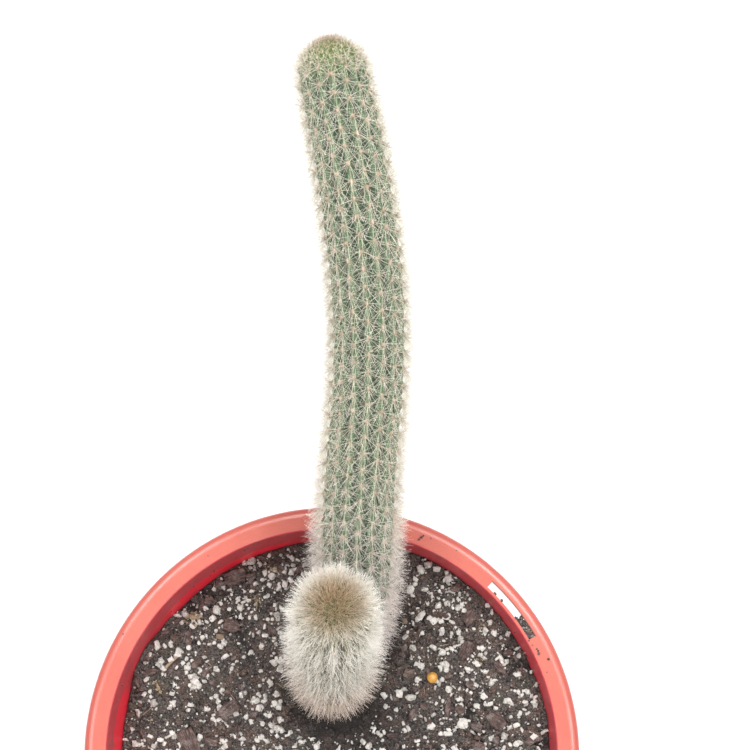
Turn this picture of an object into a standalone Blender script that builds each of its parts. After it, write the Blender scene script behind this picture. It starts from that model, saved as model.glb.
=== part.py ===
"""Potted cleistocactus: two ribbed, spiny stems in a round plastic nursery pot filled with potting mix.

Metres, +Z up. The origin is the centre of the pot's underside. The short stem stands near the middle and
the long stem behind it leans towards +Y over the back of the rim.
"""
import math
import random

import bmesh
import bpy
import numpy as np
from mathutils import Vector, noise

MM = 0.001
GAP = 0.3 * MM

# Pot: a 140 mm nursery pot
POT_HEIGHT = 125 * MM
RIM_RADIUS = 70 * MM
MOUTH_RADIUS = 63.6 * MM
FOOT_RADIUS = 49.5 * MM
WALL = 0.9 * MM
FLANGE = 1.3 * MM
SKIRT_DEPTH = 11.5 * MM
SKIRT_WALL = 1.1 * MM
SKIRT_DRAFT = 0.3 * MM
RIM_ROUNDING = 1.6 * MM
ROUNDING_STEPS = 3
INSIDE_CORNER = 0.6 * MM
FOOT_HEIGHT = 3.0 * MM
FOOT_BEVEL = 1.4 * MM
FLOOR_CORNER = 0.4 * MM
FLOOR = 1.6 * MM
PAD_RADIUS = 14 * MM
RING_RADIUS = 41 * MM
RECESS = 0.8 * MM
POT_SIDES = 48
WALL_TAPER = (MOUTH_RADIUS + WALL - FOOT_RADIUS) / POT_HEIGHT

# Label slot in the flange, just outside the wall
SLOT_START = math.radians(29.7)
SLOT_END = math.radians(46.6)
SLOT_INNER = 64.55 * MM
SLOT_WIDTH = 2.0 * MM
SLOT_STEPS = 5

# Drainage holes in the floor's recess
DRAIN_HOLES = 6
DRAIN_RADIUS = 5 * MM
DRAIN_RING = 28 * MM
DRAIN_SIDES = 12
DRAIN_TURN = math.radians(11)

# Potting mix: its top lies below the rim and slopes gently down towards -X
SOIL_DEPTH = 13.7 * MM
SOIL_SLOPE = 0.072
SOIL_RINGS = 10
CRUMB_RELIEF = 1.3 * MM
CRUMB_SIZE = 9 * MM
RELIEF_FADE = 4 * MM
STEM_SEAT = 14 * MM
STEM_SEAT_DROP = 0.8 * MM
HOLE_SIDES = 24

# Stems: route of the centreline, in mm, from the foot of its hole to the apex
LONG_ROUTE = (
    (5.6, 33.2, 101.0), (5.6, 33.2, 107.0), (5.6, 33.5, 112.5), (6.0, 37.0, 119.5), (6.7, 46.5, 129.0),
    (7.5, 64.6, 145.2), (8.7, 80.5, 159.6), (10.4, 100.0, 176.4), (10.4, 116.0, 189.2),
    (8.8, 131.0, 200.6), (5.2, 152.0, 215.4), (2.0, 166.0, 224.5), (0.5, 175.9, 230.6),
)
SHORT_ROUTE = (
    (-0.3, 18.6, 101.0), (-0.3, 18.6, 107.0), (-0.3, 18.8, 112.5), (-0.1, 20.6, 119.0),
    (0.3, 25.0, 130.0), (0.9, 32.2, 147.0), (1.4, 37.0, 160.0), (1.6, 39.2, 170.0),
)
# Radius of the ribs' crests, in mm, at distances from the foot, in mm
LONG_RADII = ((0, 6.6), (12, 6.7), (18, 7.4), (27, 8.7), (40, 9.8), (60, 10.0), (90, 9.6), (130, 9.55),
              (165, 9.15), (190, 8.6), (215, 8.2))
SHORT_RADII = ((0, 6.6), (12, 6.7), (18, 7.5), (28, 8.7), (38, 9.3), (55, 9.6), (80, 9.6))
RIBS = 16
RIB_DEPTH = 1.15 * MM
RIB_GROWTH = 9 * MM
TUBERCLE = 0.3 * MM
LOW_PITCH = 5.4 * MM
TOP_PITCH = 4.5 * MM
RIB_START = 12 * MM
DOME_ROWS = 4

# Spines: one for each areole
SPINE_LENGTH = (4.0 * MM, 5.6 * MM)
SPINE_ROOT = 0.26 * MM
SPINE_SUNK = 1.0 * MM
DOME_SUNK = 1.9 * MM
SPINE_CLEARANCE = 0.45 * MM
SPINE_RISE = (0.6, 0.95)
SPINE_DROOP = 0.8
ROOT_SHIFT = 0.5 * MM
ROOT_DROP = 0.2 * MM
# Areoles over the dome: each ring's share of the dome's height and its number of areoles
DOME_RINGS = ((0.30, 16), (0.55, 12), (0.78, 9), (0.95, 4))
DOME_STRENGTH = 0.3
RIM_CLEARANCE = (1.5 * MM, 1.2 * MM)
GOLDEN_ANGLE = math.radians(137.508)

# Bark chips: place in the pot, length and width in mm, and turn in degrees
BARK_CHIPS = (
    (-28.6, 51.0, 8.6, 5.4, 20), (-43.0, 33.0, 6.4, 5.0, 70), (-29.5, 36.8, 6.4, 4.6, -15),
    (-30.0, 12.5, 8.2, 5.6, 40), (-41.5, 3.5, 10.0, 6.4, 115), (38.5, 29.5, 6.8, 4.4, 65),
    (47.0, 9.5, 7.6, 5.2, -35), (22.0, -22.0, 9.0, 5.4, 10),
)
CHIP_THICKNESS = 1.7 * MM
CHIP_CORNERS = 6
CHIP_SEAT = 1.15
CHIP_UNEVEN = 0.35 * MM
# Height share and outline share of a chip's three rings of corners
CHIP_RINGS = ((0.0, 0.94), (0.55, 1.0), (1.0, 0.8))

# Fertiliser prill
PRILL_RADIUS = 1.7 * MM
PRILL_FLATNESS = 0.92
PRILL_SEAT = 9 * MM
PRILL_PLACE = (28.7 * MM, 21.6 * MM)

SEED = 11


def clear_scene():
    for item in list(bpy.data.objects):
        bpy.data.objects.remove(item, do_unlink=True)


def material(name, color, roughness, metallic=0.0):
    made = bpy.data.materials.new(name)
    made.use_nodes = True
    shader = made.node_tree.nodes["Principled BSDF"]
    shader.inputs["Base Color"].default_value = (*color, 1.0)
    shader.inputs["Roughness"].default_value = roughness
    shader.inputs["Metallic"].default_value = metallic
    return made


def add_object(name, vertices, faces, finish=None):
    mesh = bpy.data.meshes.new(name)
    mesh.from_pydata([tuple(float(c) for c in v) for v in vertices], [], faces)
    mesh.validate()
    if finish is not None:
        mesh.materials.append(finish)
    made = bpy.data.objects.new(name, mesh)
    bpy.context.scene.collection.objects.link(made)
    return made


def grid_faces(rows, columns, first=0):
    """Quads between neighbouring rows of a grid whose columns close on themselves."""
    faces = []
    for i in range(rows - 1):
        for j in range(columns):
            k = (j + 1) % columns
            a = first + i * columns
            b = a + columns
            faces.append((a + j, a + k, b + k, b + j))
    return faces


def fan_faces(centre, ring_start, columns, upwards):
    """Triangles from a ring to its centre vertex, facing up or down."""
    faces = []
    for j in range(columns):
        k = (j + 1) % columns
        edge = (ring_start + j, ring_start + k) if upwards else (ring_start + k, ring_start + j)
        faces.append((*edge, centre))
    return faces


def apply_boolean(target, operation, solver, operand=None, collection=None):
    """Apply one Boolean modifier to the target's mesh."""
    modifier = target.modifiers.new(operation.lower(), "BOOLEAN")
    modifier.operation = operation
    modifier.solver = solver
    if collection is not None:
        modifier.operand_type = "COLLECTION"
        modifier.collection = collection
    else:
        modifier.object = operand
    bpy.context.view_layer.update()
    graph = bpy.context.evaluated_depsgraph_get()
    result = bpy.data.meshes.new_from_object(target.evaluated_get(graph))
    target.modifiers.remove(modifier)
    target.data = result


def cut(target, cutters):
    """Subtract each cutter from the target, then remove it."""
    for cutter in cutters:
        cutter.hide_render = True
        cutter.display_type = "WIRE"
        apply_boolean(target, "DIFFERENCE", "EXACT", operand=cutter)
        bpy.data.objects.remove(cutter, do_unlink=True)


def cylinder(name, centre, radius, bottom, top, sides):
    """Upright prism used as a cutter."""
    ring = np.arange(sides) * 2 * math.pi / sides
    x = centre[0] + radius * np.cos(ring)
    y = centre[1] + radius * np.sin(ring)
    low = np.stack([x, y, np.full(sides, bottom)], 1)
    high = np.stack([x, y, np.full(sides, top)], 1)
    faces = grid_faces(2, sides)
    faces.append(tuple(reversed(range(sides))))
    faces.append(tuple(range(sides, 2 * sides)))
    return add_object(name, np.concatenate([low, high]), faces)


def wall_inside(z):
    """Radius of the pot's inner wall at height z."""
    return MOUTH_RADIUS - (POT_HEIGHT - z) * WALL_TAPER


def pot_profile():
    """Half section from the mouth's edge out over the rim and down to the underside, and the floor's edge."""
    outer = []
    for step in range(ROUNDING_STEPS + 1):
        turn = math.pi / 2 * (1 - step / ROUNDING_STEPS)
        outer.append((RIM_RADIUS - RIM_ROUNDING + RIM_ROUNDING * math.cos(turn),
                      POT_HEIGHT - RIM_ROUNDING + RIM_ROUNDING * math.sin(turn)))
    skirt_foot = POT_HEIGHT - SKIRT_DEPTH
    under_flange = POT_HEIGHT - FLANGE
    inside_skirt = RIM_RADIUS - SKIRT_WALL
    wall_at_foot = wall_inside(FOOT_HEIGHT) + WALL
    outer += [
        (RIM_RADIUS - SKIRT_DRAFT, skirt_foot),
        (inside_skirt - SKIRT_DRAFT, skirt_foot),
        (inside_skirt, under_flange - INSIDE_CORNER),
        (inside_skirt - INSIDE_CORNER, under_flange),
        (wall_inside(under_flange) + WALL, under_flange),
        (wall_at_foot, FOOT_HEIGHT),
        (wall_at_foot - FOOT_BEVEL, 0.0),
        (RING_RADIUS, 0.0),
        (RING_RADIUS - RECESS, RECESS),
        (PAD_RADIUS + RECESS, RECESS),
        (PAD_RADIUS, 0.0),
    ]
    mouth = (MOUTH_RADIUS, POT_HEIGHT)
    floor_edge = (wall_inside(FLOOR + RECESS) - FLOOR_CORNER, FLOOR + RECESS)
    return [mouth] + outer, floor_edge


def build_pot():
    profile, floor_edge = pot_profile()
    ring = np.arange(POT_SIDES) * 2 * math.pi / POT_SIDES
    spokes = np.stack([np.cos(ring), np.sin(ring)], 1)

    def turned(points):
        rows = [np.concatenate([r * spokes, np.full((POT_SIDES, 1), z)], 1) for r, z in points]
        return np.concatenate(rows)

    vertices = np.concatenate([turned(profile), [[0, 0, 0]], turned([floor_edge]), [[0, 0, floor_edge[1]]]])
    rows = len(profile)
    under_centre = rows * POT_SIDES
    floor_ring = under_centre + 1
    floor_centre = floor_ring + POT_SIDES
    faces = [tuple(reversed(face)) for face in grid_faces(rows, POT_SIDES)]
    faces += fan_faces(under_centre, (rows - 1) * POT_SIDES, POT_SIDES, upwards=False)
    faces += fan_faces(floor_centre, floor_ring, POT_SIDES, upwards=True)
    for j in range(POT_SIDES):
        k = (j + 1) % POT_SIDES
        faces.append((floor_ring + k, floor_ring + j, j, k))
    plastic = material("pot plastic", (0.86, 0.20, 0.16), 0.38)
    pot = add_object("pot", vertices, faces, plastic)
    cut(pot, [slot_cutter()] + drain_cutters())
    shade_round(pot)
    return pot


def slot_cutter():
    """Curved bar through the flange that leaves the label slot."""
    turns = np.linspace(SLOT_START, SLOT_END, SLOT_STEPS + 1)
    bottom = POT_HEIGHT - 2.4 * FLANGE
    top = POT_HEIGHT + FLANGE
    sections = []
    for turn in turns:
        for radius, z in ((SLOT_INNER, bottom), (SLOT_INNER + SLOT_WIDTH, bottom),
                          (SLOT_INNER + SLOT_WIDTH, top), (SLOT_INNER, top)):
            sections.append((radius * math.cos(turn), radius * math.sin(turn), z))
    faces = [tuple(reversed(face)) for face in grid_faces(SLOT_STEPS + 1, 4)]
    last = 4 * SLOT_STEPS
    faces.append((0, 1, 2, 3))
    faces.append((last + 3, last + 2, last + 1, last))
    return add_object("slot cutter", sections, faces)


def drain_cutters():
    cutters = []
    for hole in range(DRAIN_HOLES):
        turn = 2 * math.pi * hole / DRAIN_HOLES + DRAIN_TURN
        centre = (DRAIN_RING * math.cos(turn), DRAIN_RING * math.sin(turn))
        cutters.append(cylinder("drain cutter", centre, DRAIN_RADIUS, -2 * FLOOR, 3 * FLOOR, DRAIN_SIDES))
    return cutters


def shade_round(target, angle=math.radians(35)):
    target.data.shade_smooth()
    target.data.set_sharp_from_angle(angle=angle)


def soil_level(x):
    """Height of the mix before its crumbs, which slopes down towards -X."""
    return POT_HEIGHT - SOIL_DEPTH + SOIL_SLOPE * x


def relief_share(x, y):
    """How much crumb relief a place has: none at the stems' feet, under the chips and under the prill."""
    share = 1.0
    for route in (LONG_ROUTE, SHORT_ROUTE):
        away = math.hypot(x - route[0][0] * MM, y - route[0][1] * MM)
        share = min(share, max(0.0, (away - STEM_SEAT) / RELIEF_FADE))
    for chip_x, chip_y, length, _, _ in BARK_CHIPS:
        away = math.hypot(x - chip_x * MM, y - chip_y * MM)
        share = min(share, max(0.0, (away - CHIP_SEAT * length * MM) / RELIEF_FADE))
    away = math.hypot(x - PRILL_PLACE[0], y - PRILL_PLACE[1])
    return min(share, max(0.0, (away - PRILL_SEAT) / RELIEF_FADE))


def seat_drop(x, y):
    """How far the mix dips round the stems."""
    nearest = min(math.hypot(x - route[0][0] * MM, y - route[0][1] * MM)
                  for route in (LONG_ROUTE, SHORT_ROUTE))
    return STEM_SEAT_DROP * min(1.0, max(0.0, 1 - (nearest - STEM_SEAT) / RELIEF_FADE))


def crumbs(x, y):
    """Height of the crumbs above the even slope: rolling noise that is calm where something stands or lies."""
    rolling = noise.noise(Vector((x / CRUMB_SIZE, y / CRUMB_SIZE, SEED)))
    return CRUMB_RELIEF * rolling * relief_share(x, y) - seat_drop(x, y)


def build_soil():
    ring = np.arange(POT_SIDES) * 2 * math.pi / POT_SIDES
    foot = FLOOR + RECESS + GAP
    side_gap = GAP / math.cos(math.pi / POT_SIDES)
    foot_radius = wall_inside(foot) - side_gap - FLOOR_CORNER
    vertices = [(0, 0, foot)]
    vertices += [(foot_radius * math.cos(a), foot_radius * math.sin(a), foot) for a in ring]
    for row in range(SOIL_RINGS):
        share = 1 - row / SOIL_RINGS
        for a in ring:
            edge_level = soil_level(MOUTH_RADIUS * math.cos(a))
            radius = (wall_inside(edge_level) - side_gap) * share
            x = radius * math.cos(a)
            y = radius * math.sin(a)
            vertices.append((x, y, soil_level(x) + (crumbs(x, y) if row > 0 else 0.0)))
    centre = len(vertices)
    vertices.append((0, 0, soil_level(0) + crumbs(0, 0)))
    faces = fan_faces(0, 1, POT_SIDES, upwards=False)
    faces += grid_faces(SOIL_RINGS + 1, POT_SIDES, first=1)
    faces += fan_faces(centre, 1 + SOIL_RINGS * POT_SIDES, POT_SIDES, upwards=True)
    mix = material("potting mix", (0.075, 0.058, 0.05), 0.95)
    soil = add_object("soil", vertices, faces, mix)
    holes = []
    for route, radii in ((LONG_ROUTE, LONG_RADII), (SHORT_ROUTE, SHORT_RADII)):
        foot_x, foot_y, foot_z = (c * MM for c in route[0])
        radius = (radii[1][1] * MM + GAP) / math.cos(math.pi / HOLE_SIDES)
        holes.append(cylinder("stem hole", (foot_x, foot_y), radius, foot_z - GAP, POT_HEIGHT, HOLE_SIDES))
    cut(soil, holes)
    return soil


class Route:
    """Smooth curve through a stem's points, with a frame and a crest radius at each distance along it."""

    def __init__(self, points, radii):
        points = np.array(points) * MM
        chord = np.concatenate([[0], np.cumsum(np.linalg.norm(np.diff(points, axis=0), axis=1))])
        slopes = np.gradient(points, chord, axis=0)
        dense = np.linspace(0, chord[-1], 1200)
        span = np.clip(np.searchsorted(chord, dense, side="right") - 1, 0, len(chord) - 2)
        width = (chord[span + 1] - chord[span])[:, None]
        t = ((dense - chord[span])[:, None]) / width
        curve = ((2 * t ** 3 - 3 * t ** 2 + 1) * points[span]
                 + (t ** 3 - 2 * t ** 2 + t) * width * slopes[span]
                 + (3 * t ** 2 - 2 * t ** 3) * points[span + 1]
                 + (t ** 3 - t ** 2) * width * slopes[span + 1])
        self.curve = curve
        self.distance = np.concatenate([[0], np.cumsum(np.linalg.norm(np.diff(curve, axis=0), axis=1))])
        self.length = self.distance[-1]
        self.radii = np.array(radii) * MM
        self.dome = self.crest_radius(self.length) * 1.05

    def at(self, s):
        return np.array([np.interp(s, self.distance, self.curve[:, c]) for c in range(3)])

    def frame(self, s):
        step = 0.5 * MM
        ahead = self.at(min(s + step, self.length)) - self.at(max(s - step, 0.0))
        ahead /= np.linalg.norm(ahead)
        side = np.array([1.0, 0, 0]) - ahead[0] * ahead
        side /= np.linalg.norm(side)
        return ahead, side, np.cross(ahead, side)

    def crest_radius(self, s):
        return float(np.interp(s, self.radii[:, 0], self.radii[:, 1]))

    def radius(self, s):
        """Crest radius, closed by a dome at the apex."""
        into = max(0.0, s - (self.length - self.dome)) / self.dome
        return self.crest_radius(s) * math.sqrt(max(0.0, 1 - into * into))

    def clearance(self, point):
        """Distance from a point to the stem's crests."""
        away = np.linalg.norm(self.curve - point, axis=1)
        nearest = int(np.argmin(away))
        return float(away[nearest]) - self.crest_radius(self.distance[nearest])


def stem_rows(route):
    """Distances of the rows of vertices: half a pitch apart up to the dome, then closer over it.

    The pitch shrinks evenly from the foot to the top. Also gives the first ribbed row and their number.
    """
    dome_start = route.length - route.dome
    span = dome_start - RIB_START
    count = round(span / ((LOW_PITCH + TOP_PITCH) / 4))
    shares = [i / count for i in range(count + 1)]
    swell = (LOW_PITCH - TOP_PITCH) / (LOW_PITCH + TOP_PITCH)
    ribbed = [RIB_START + span * (t + swell * t * (1 - t)) for t in shares]
    dome = [dome_start + route.dome * math.sin(math.pi / 2 * (i + 1) / (DOME_ROWS + 1))
            for i in range(DOME_ROWS)]
    buried = [0.0, 0.8 * RIB_START]
    return buried + ribbed + dome, len(buried), len(ribbed)


def surface_point(route, s, turn, offset):
    """Point of a stem at distance s and at an angle round it, offset outwards from the crest radius."""
    _, side, normal = route.frame(s)
    radius = route.radius(s) + offset
    return route.at(s) + radius * (math.cos(turn) * side + math.sin(turn) * normal)


def rib_strength(route, s):
    """Ribs grow out of the smooth foot and fade again over the dome."""
    grown = min(1.0, max(0.0, (s - RIB_START) / RIB_GROWTH))
    left = min(1.0, max(0.0, (route.length - s) / route.dome))
    return grown * left


def build_stem_body(name, route, finish):
    rows, first_ribbed, ribbed_count = stem_rows(route)
    columns = 2 * RIBS
    vertices = []
    for i, s in enumerate(rows):
        strength = rib_strength(route, s)
        for j in range(columns):
            turn = 2 * math.pi * j / columns
            if j % 2:
                offset = -RIB_DEPTH * strength
            elif (i - first_ribbed + j // 2) % 2 == 0:
                offset = TUBERCLE * strength
            else:
                offset = -TUBERCLE * strength
            vertices.append(surface_point(route, s, turn, offset))
    foot_centre = len(vertices)
    vertices.append(route.at(0.0))
    apex = foot_centre + 1
    vertices.append(route.at(route.length))
    faces = []
    for i in range(len(rows) - 1):
        for j in range(columns):
            k = (j + 1) % columns
            a = i * columns
            b = a + columns
            crest_right = j % 2 == 1
            areole_below = (i - first_ribbed + (j + 1) // 2) % 2 == 0
            if crest_right == areole_below:
                faces += [(a + j, a + k, b + k), (a + j, b + k, b + j)]
            else:
                faces += [(a + j, a + k, b + j), (a + k, b + k, b + j)]
    faces += fan_faces(foot_centre, 0, columns, upwards=False)
    faces += fan_faces(apex, (len(rows) - 1) * columns, columns, upwards=True)
    return add_object(name, vertices, faces, finish), rows, first_ribbed, ribbed_count


def spine_is_clear(points, own, other):
    """Whether a spine keeps clear of the mix, the rim and the other stem."""
    for point in points:
        if point[2] < soil_level(point[0]) + CRUMB_RELIEF + SPINE_CLEARANCE:
            return False
        away = math.hypot(point[0], point[1])
        if away > wall_inside(point[2]) - RIM_CLEARANCE[0] and point[2] < POT_HEIGHT + RIM_CLEARANCE[1]:
            return False
        if other.clearance(point) < own.clearance(point) + SPINE_CLEARANCE:
            return False
    return True


def spine_mesh(root, heading, length, sunk_by):
    """Three-sided needle from a triangle sunk under the surface to the tip."""
    sunk = root - heading * sunk_by
    helper = np.eye(3)[int(np.argmin(np.abs(heading)))]
    across = np.cross(heading, helper)
    across /= np.linalg.norm(across)
    beside = np.cross(heading, across)
    corners = [sunk + SPINE_ROOT * (math.cos(a) * across + math.sin(a) * beside)
               for a in (0, 2 * math.pi / 3, 4 * math.pi / 3)]
    return [*corners, root + heading * length], [(2, 1, 0), (0, 1, 3), (1, 2, 3), (2, 0, 3)]


def areoles(route, rows, first_ribbed, ribbed_count):
    """Places of the areoles, staggered between neighbouring ribs, and rings of them over the dome."""
    for i in range(first_ribbed + 1, first_ribbed + ribbed_count):
        for rib in range(RIBS):
            if (i - first_ribbed + rib) % 2 == 0:
                yield rows[i], 2 * math.pi * rib / RIBS, rib_strength(route, rows[i])
    for share, count in DOME_RINGS:
        s = route.length - route.dome * (1 - share)
        for rib in range(count):
            yield s, 2 * math.pi * (rib + share) / count, DOME_STRENGTH


def build_spines(route, other, rows, first_ribbed, ribbed_count, seed):
    """One needle for each areole, turned by the golden angle from the last one, in a collection."""
    rng = random.Random(seed)
    holder = bpy.data.collections.new("spines")
    bpy.context.scene.collection.children.link(holder)
    for index, (s, turn, strength) in enumerate(areoles(route, rows, first_ribbed, ribbed_count)):
        beside = ROOT_SHIFT / max(route.radius(s), 6 * ROOT_SHIFT)
        root = surface_point(route, s - ROOT_SHIFT, turn + beside, -ROOT_DROP * strength)
        ahead, side, normal = route.frame(s)
        outward = math.cos(turn) * side + math.sin(turn) * normal
        dome_share = max(0.0, (s - (route.length - route.dome)) / route.dome)
        outward = outward * math.sqrt(max(0.0, 1 - dome_share ** 2)) + ahead * dome_share
        outward /= np.linalg.norm(outward)
        around = math.cos(turn) * normal - math.sin(turn) * side
        footward = np.cross(around, outward)
        spin = index * GOLDEN_ANGLE
        rise = rng.uniform(*SPINE_RISE)
        lean = math.sqrt(1 - rise * rise)
        swing = math.cos(spin) * around + abs(math.sin(spin)) * SPINE_DROOP * footward
        heading = rise * outward + lean * swing
        heading /= np.linalg.norm(heading)
        length = rng.uniform(*SPINE_LENGTH)
        points = [root + heading * length * share for share in (0.35, 0.7, 1.0)]
        if not spine_is_clear(points, route, other):
            continue
        sunk_by = DOME_SUNK if dome_share > 0 else SPINE_SUNK
        vertices, faces = spine_mesh(root, heading, length, sunk_by)
        mesh = bpy.data.meshes.new("spine")
        mesh.from_pydata([Vector(v) for v in vertices], [], faces)
        needle = bpy.data.objects.new("spine", mesh)
        holder.objects.link(needle)
    return holder


def build_stem(name, route, other, color, seed):
    flesh = material(name + " flesh", color, 0.6)
    body, rows, first_ribbed, ribbed_count = build_stem_body(name, route, flesh)
    holder = build_spines(route, other, rows, first_ribbed, ribbed_count, seed)
    apply_boolean(body, "UNION", "MANIFOLD", collection=holder)
    for needle in list(holder.objects):
        bpy.data.objects.remove(needle, do_unlink=True)
    bpy.data.collections.remove(holder)
    return body


def build_bark_chips():
    """Loose bark chips: flat, uneven slabs with bevelled tops, lying on the mix."""
    rng = random.Random(SEED + 1)
    bark = material("bark", (0.105, 0.062, 0.045), 0.9)
    for number, (x, y, length, width, turn) in enumerate(BARK_CHIPS, 1):
        turn = math.radians(turn)
        outline = []
        for corner in range(CHIP_CORNERS):
            a = 2 * math.pi * corner / CHIP_CORNERS
            reach = rng.uniform(0.82, 1.0) * MM / 2
            outline.append((length * reach * math.cos(a), width * reach * math.sin(a)))
        vertices = []
        for rise, share in CHIP_RINGS:
            for u, v in outline:
                px = x * MM + share * (u * math.cos(turn) - v * math.sin(turn))
                py = y * MM + share * (u * math.sin(turn) + v * math.cos(turn))
                height = CHIP_THICKNESS * rise - rng.uniform(0, CHIP_UNEVEN) * math.floor(rise)
                vertices.append((px, py, soil_level(px) + GAP + height))
        faces = grid_faces(len(CHIP_RINGS), CHIP_CORNERS)
        faces.append(tuple(reversed(range(CHIP_CORNERS))))
        top = len(vertices)
        centre = np.mean(np.array(vertices[-CHIP_CORNERS:]), axis=0)
        vertices.append(tuple(centre))
        faces += fan_faces(top, top - CHIP_CORNERS, CHIP_CORNERS, upwards=True)
        add_object("bark_chip_%d" % number, vertices, faces, bark)


def build_prill():
    """Coated fertiliser ball, slightly flattened, resting on the mix."""
    coat = material("prill coat", (0.80, 0.45, 0.10), 0.35)
    mesh = bpy.data.meshes.new("fertiliser_prill")
    shape = bmesh.new()
    bmesh.ops.create_icosphere(shape, subdivisions=2, radius=PRILL_RADIUS)
    for vertex in shape.verts:
        vertex.co.z *= PRILL_FLATNESS
    shape.to_mesh(mesh)
    shape.free()
    mesh.materials.append(coat)
    mesh.shade_smooth()
    prill = bpy.data.objects.new("fertiliser_prill", mesh)
    x, y = PRILL_PLACE
    prill.location = (x, y, soil_level(x) + GAP + PRILL_FLATNESS * PRILL_RADIUS)
    bpy.context.scene.collection.objects.link(prill)
    return prill


def main():
    clear_scene()
    long_route = Route(LONG_ROUTE, LONG_RADII)
    short_route = Route(SHORT_ROUTE, SHORT_RADII)
    build_pot()
    build_soil()
    build_stem("stem_long", long_route, short_route, (0.20, 0.32, 0.17), SEED + 2)
    build_stem("stem_short", short_route, long_route, (0.40, 0.40, 0.26), SEED + 3)
    build_bark_chips()
    build_prill()


main()
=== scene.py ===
"""Looks of the potted cleistocactus: a round nursery pot of gritty mix with a long and a short bristly stem.

Metres, +Z up. The pot stands on the floor with its middle at the origin, and the long stem leans towards +Y.
"""
import math

import bpy
import numpy as np
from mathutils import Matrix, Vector


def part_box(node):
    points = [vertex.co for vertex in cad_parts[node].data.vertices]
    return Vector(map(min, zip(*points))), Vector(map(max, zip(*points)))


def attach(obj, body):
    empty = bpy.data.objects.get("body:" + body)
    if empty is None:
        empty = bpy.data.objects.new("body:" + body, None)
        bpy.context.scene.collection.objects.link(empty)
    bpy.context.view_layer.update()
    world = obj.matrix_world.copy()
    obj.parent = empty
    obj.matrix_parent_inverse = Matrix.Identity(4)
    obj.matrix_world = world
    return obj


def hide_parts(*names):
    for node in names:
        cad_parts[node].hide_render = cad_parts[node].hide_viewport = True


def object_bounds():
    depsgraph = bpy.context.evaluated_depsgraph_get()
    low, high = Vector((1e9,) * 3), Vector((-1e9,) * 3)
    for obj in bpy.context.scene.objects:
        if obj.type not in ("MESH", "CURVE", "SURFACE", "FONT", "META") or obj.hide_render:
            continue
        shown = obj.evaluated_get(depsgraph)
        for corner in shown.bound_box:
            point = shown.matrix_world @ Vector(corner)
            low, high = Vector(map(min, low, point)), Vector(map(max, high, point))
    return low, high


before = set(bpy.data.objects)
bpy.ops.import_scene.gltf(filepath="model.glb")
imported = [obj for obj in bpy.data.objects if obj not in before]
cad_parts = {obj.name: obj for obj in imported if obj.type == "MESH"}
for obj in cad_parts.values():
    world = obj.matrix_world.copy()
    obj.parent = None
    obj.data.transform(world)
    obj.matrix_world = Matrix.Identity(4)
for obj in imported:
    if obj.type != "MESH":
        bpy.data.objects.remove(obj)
cad_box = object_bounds()


# Camera
# The photograph looks almost straight down, ten degrees off the vertical, through a long lens from the
# front of the pot. Its place is worked out from the ellipse of the rim, which is 140 mm across.
MM = 0.001
CAMERA_PLACE = np.array([12.22, -2.58, 754.36]) * MM
CAMERA_TILT = math.radians(10.0)
CAMERA_LENS = 105.6
CAMERA_SENSOR = 36.0
PICTURE_SIDE = 750

camera_data = bpy.data.cameras.new("camera")
camera_data.lens = CAMERA_LENS
camera_data.sensor_width = CAMERA_SENSOR
camera_data.clip_start = 0.01
camera_data.clip_end = 20.0
camera = bpy.data.objects.new("camera", camera_data)
camera.location = CAMERA_PLACE
camera.rotation_euler = (CAMERA_TILT, 0.0, 0.0)
bpy.context.scene.collection.objects.link(camera)
bpy.context.scene.camera = camera


def sight_lines(pixels):
    """Directions from the camera through pixels of the picture, one row for each pixel."""
    focal = CAMERA_LENS / CAMERA_SENSOR * PICTURE_SIDE
    right, up = (np.asarray(pixels, float) - PICTURE_SIDE / 2).T / focal * [[1], [-1]]
    return np.stack([right,
                     up * math.cos(CAMERA_TILT) + math.sin(CAMERA_TILT),
                     up * math.sin(CAMERA_TILT) - math.cos(CAMERA_TILT)], axis=1)


# Pot
# An injection-moulded nursery pot: a thin tapered wall that widens at the top into a rolled flange with a
# short skirt, a slot in the flange for the plant label, and a floor with a foot ring and drainage holes.
pot_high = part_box("pot")[1]
POT_HEIGHT = pot_high.z
RIM_RADIUS = pot_high.x
MOUTH_RADIUS = 63.6 * MM
WALL_TAPER = 0.12
WALL = 0.9 * MM
FLANGE = 1.3 * MM
ROLL_WIDTH = 2.8 * MM
ROLL_DROP = 2.0 * MM
FLANGE_DISH = 0.12 * MM
SKIRT_DEPTH = 11.5 * MM
SKIRT_WALL = 1.1 * MM
SKIRT_DRAFT = 0.3 * MM
EDGE_ROUND = 0.3 * MM
FOOT_ROUND = 1.4 * MM
INNER_ROUND = 2 * MM
FLOOR = 1.6 * MM
RECESS = 0.8 * MM
RING_RADIUS = 41 * MM
PAD_RADIUS = 14 * MM
POT_SIDES = 240
SHARP_EDGE = math.radians(38)
SLOT_START = math.radians(29.7)
SLOT_END = math.radians(46.6)
SLOT_INNER = 64.55 * MM
SLOT_WIDTH = 2.0 * MM
SLOT_STEPS = 18
DRAIN_HOLES = 6
DRAIN_SIDES = 32
DRAIN_RADIUS = 5 * MM
DRAIN_RING = 28 * MM
DRAIN_TURN = math.radians(11)
EJECTOR_RING = 66.8 * MM
EJECTOR_TURN = math.radians(96.5)
EJECTOR_MARKS = 3
EJECTOR_RADIUS = 0.8 * MM
CORAL = (0.56, 0.142, 0.108)
CORAL_PALE = (0.585, 0.162, 0.124)
# Painted shade: the roll's outer edge and the skirt are painted this deeper red.
CORAL_EDGE_SHADE = (0.46, 0.074, 0.062)
# Inner wall: crimson is a painted glow of daylight through the plastic, maroon the painted shade behind the skirt.
CRIMSON = (0.72, 0.022, 0.042)
MAROON = (0.44, 0.044, 0.054)
BLACK = (0.0, 0.0, 0.0)
GLOW = 0.20
GLOW_DEPTH = 9.6 * MM
GLOW_FADE = 2.2 * MM
GLOW_WAVER = 2.5 * MM
GLOW_LEAN = 1.9 * MM
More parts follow.
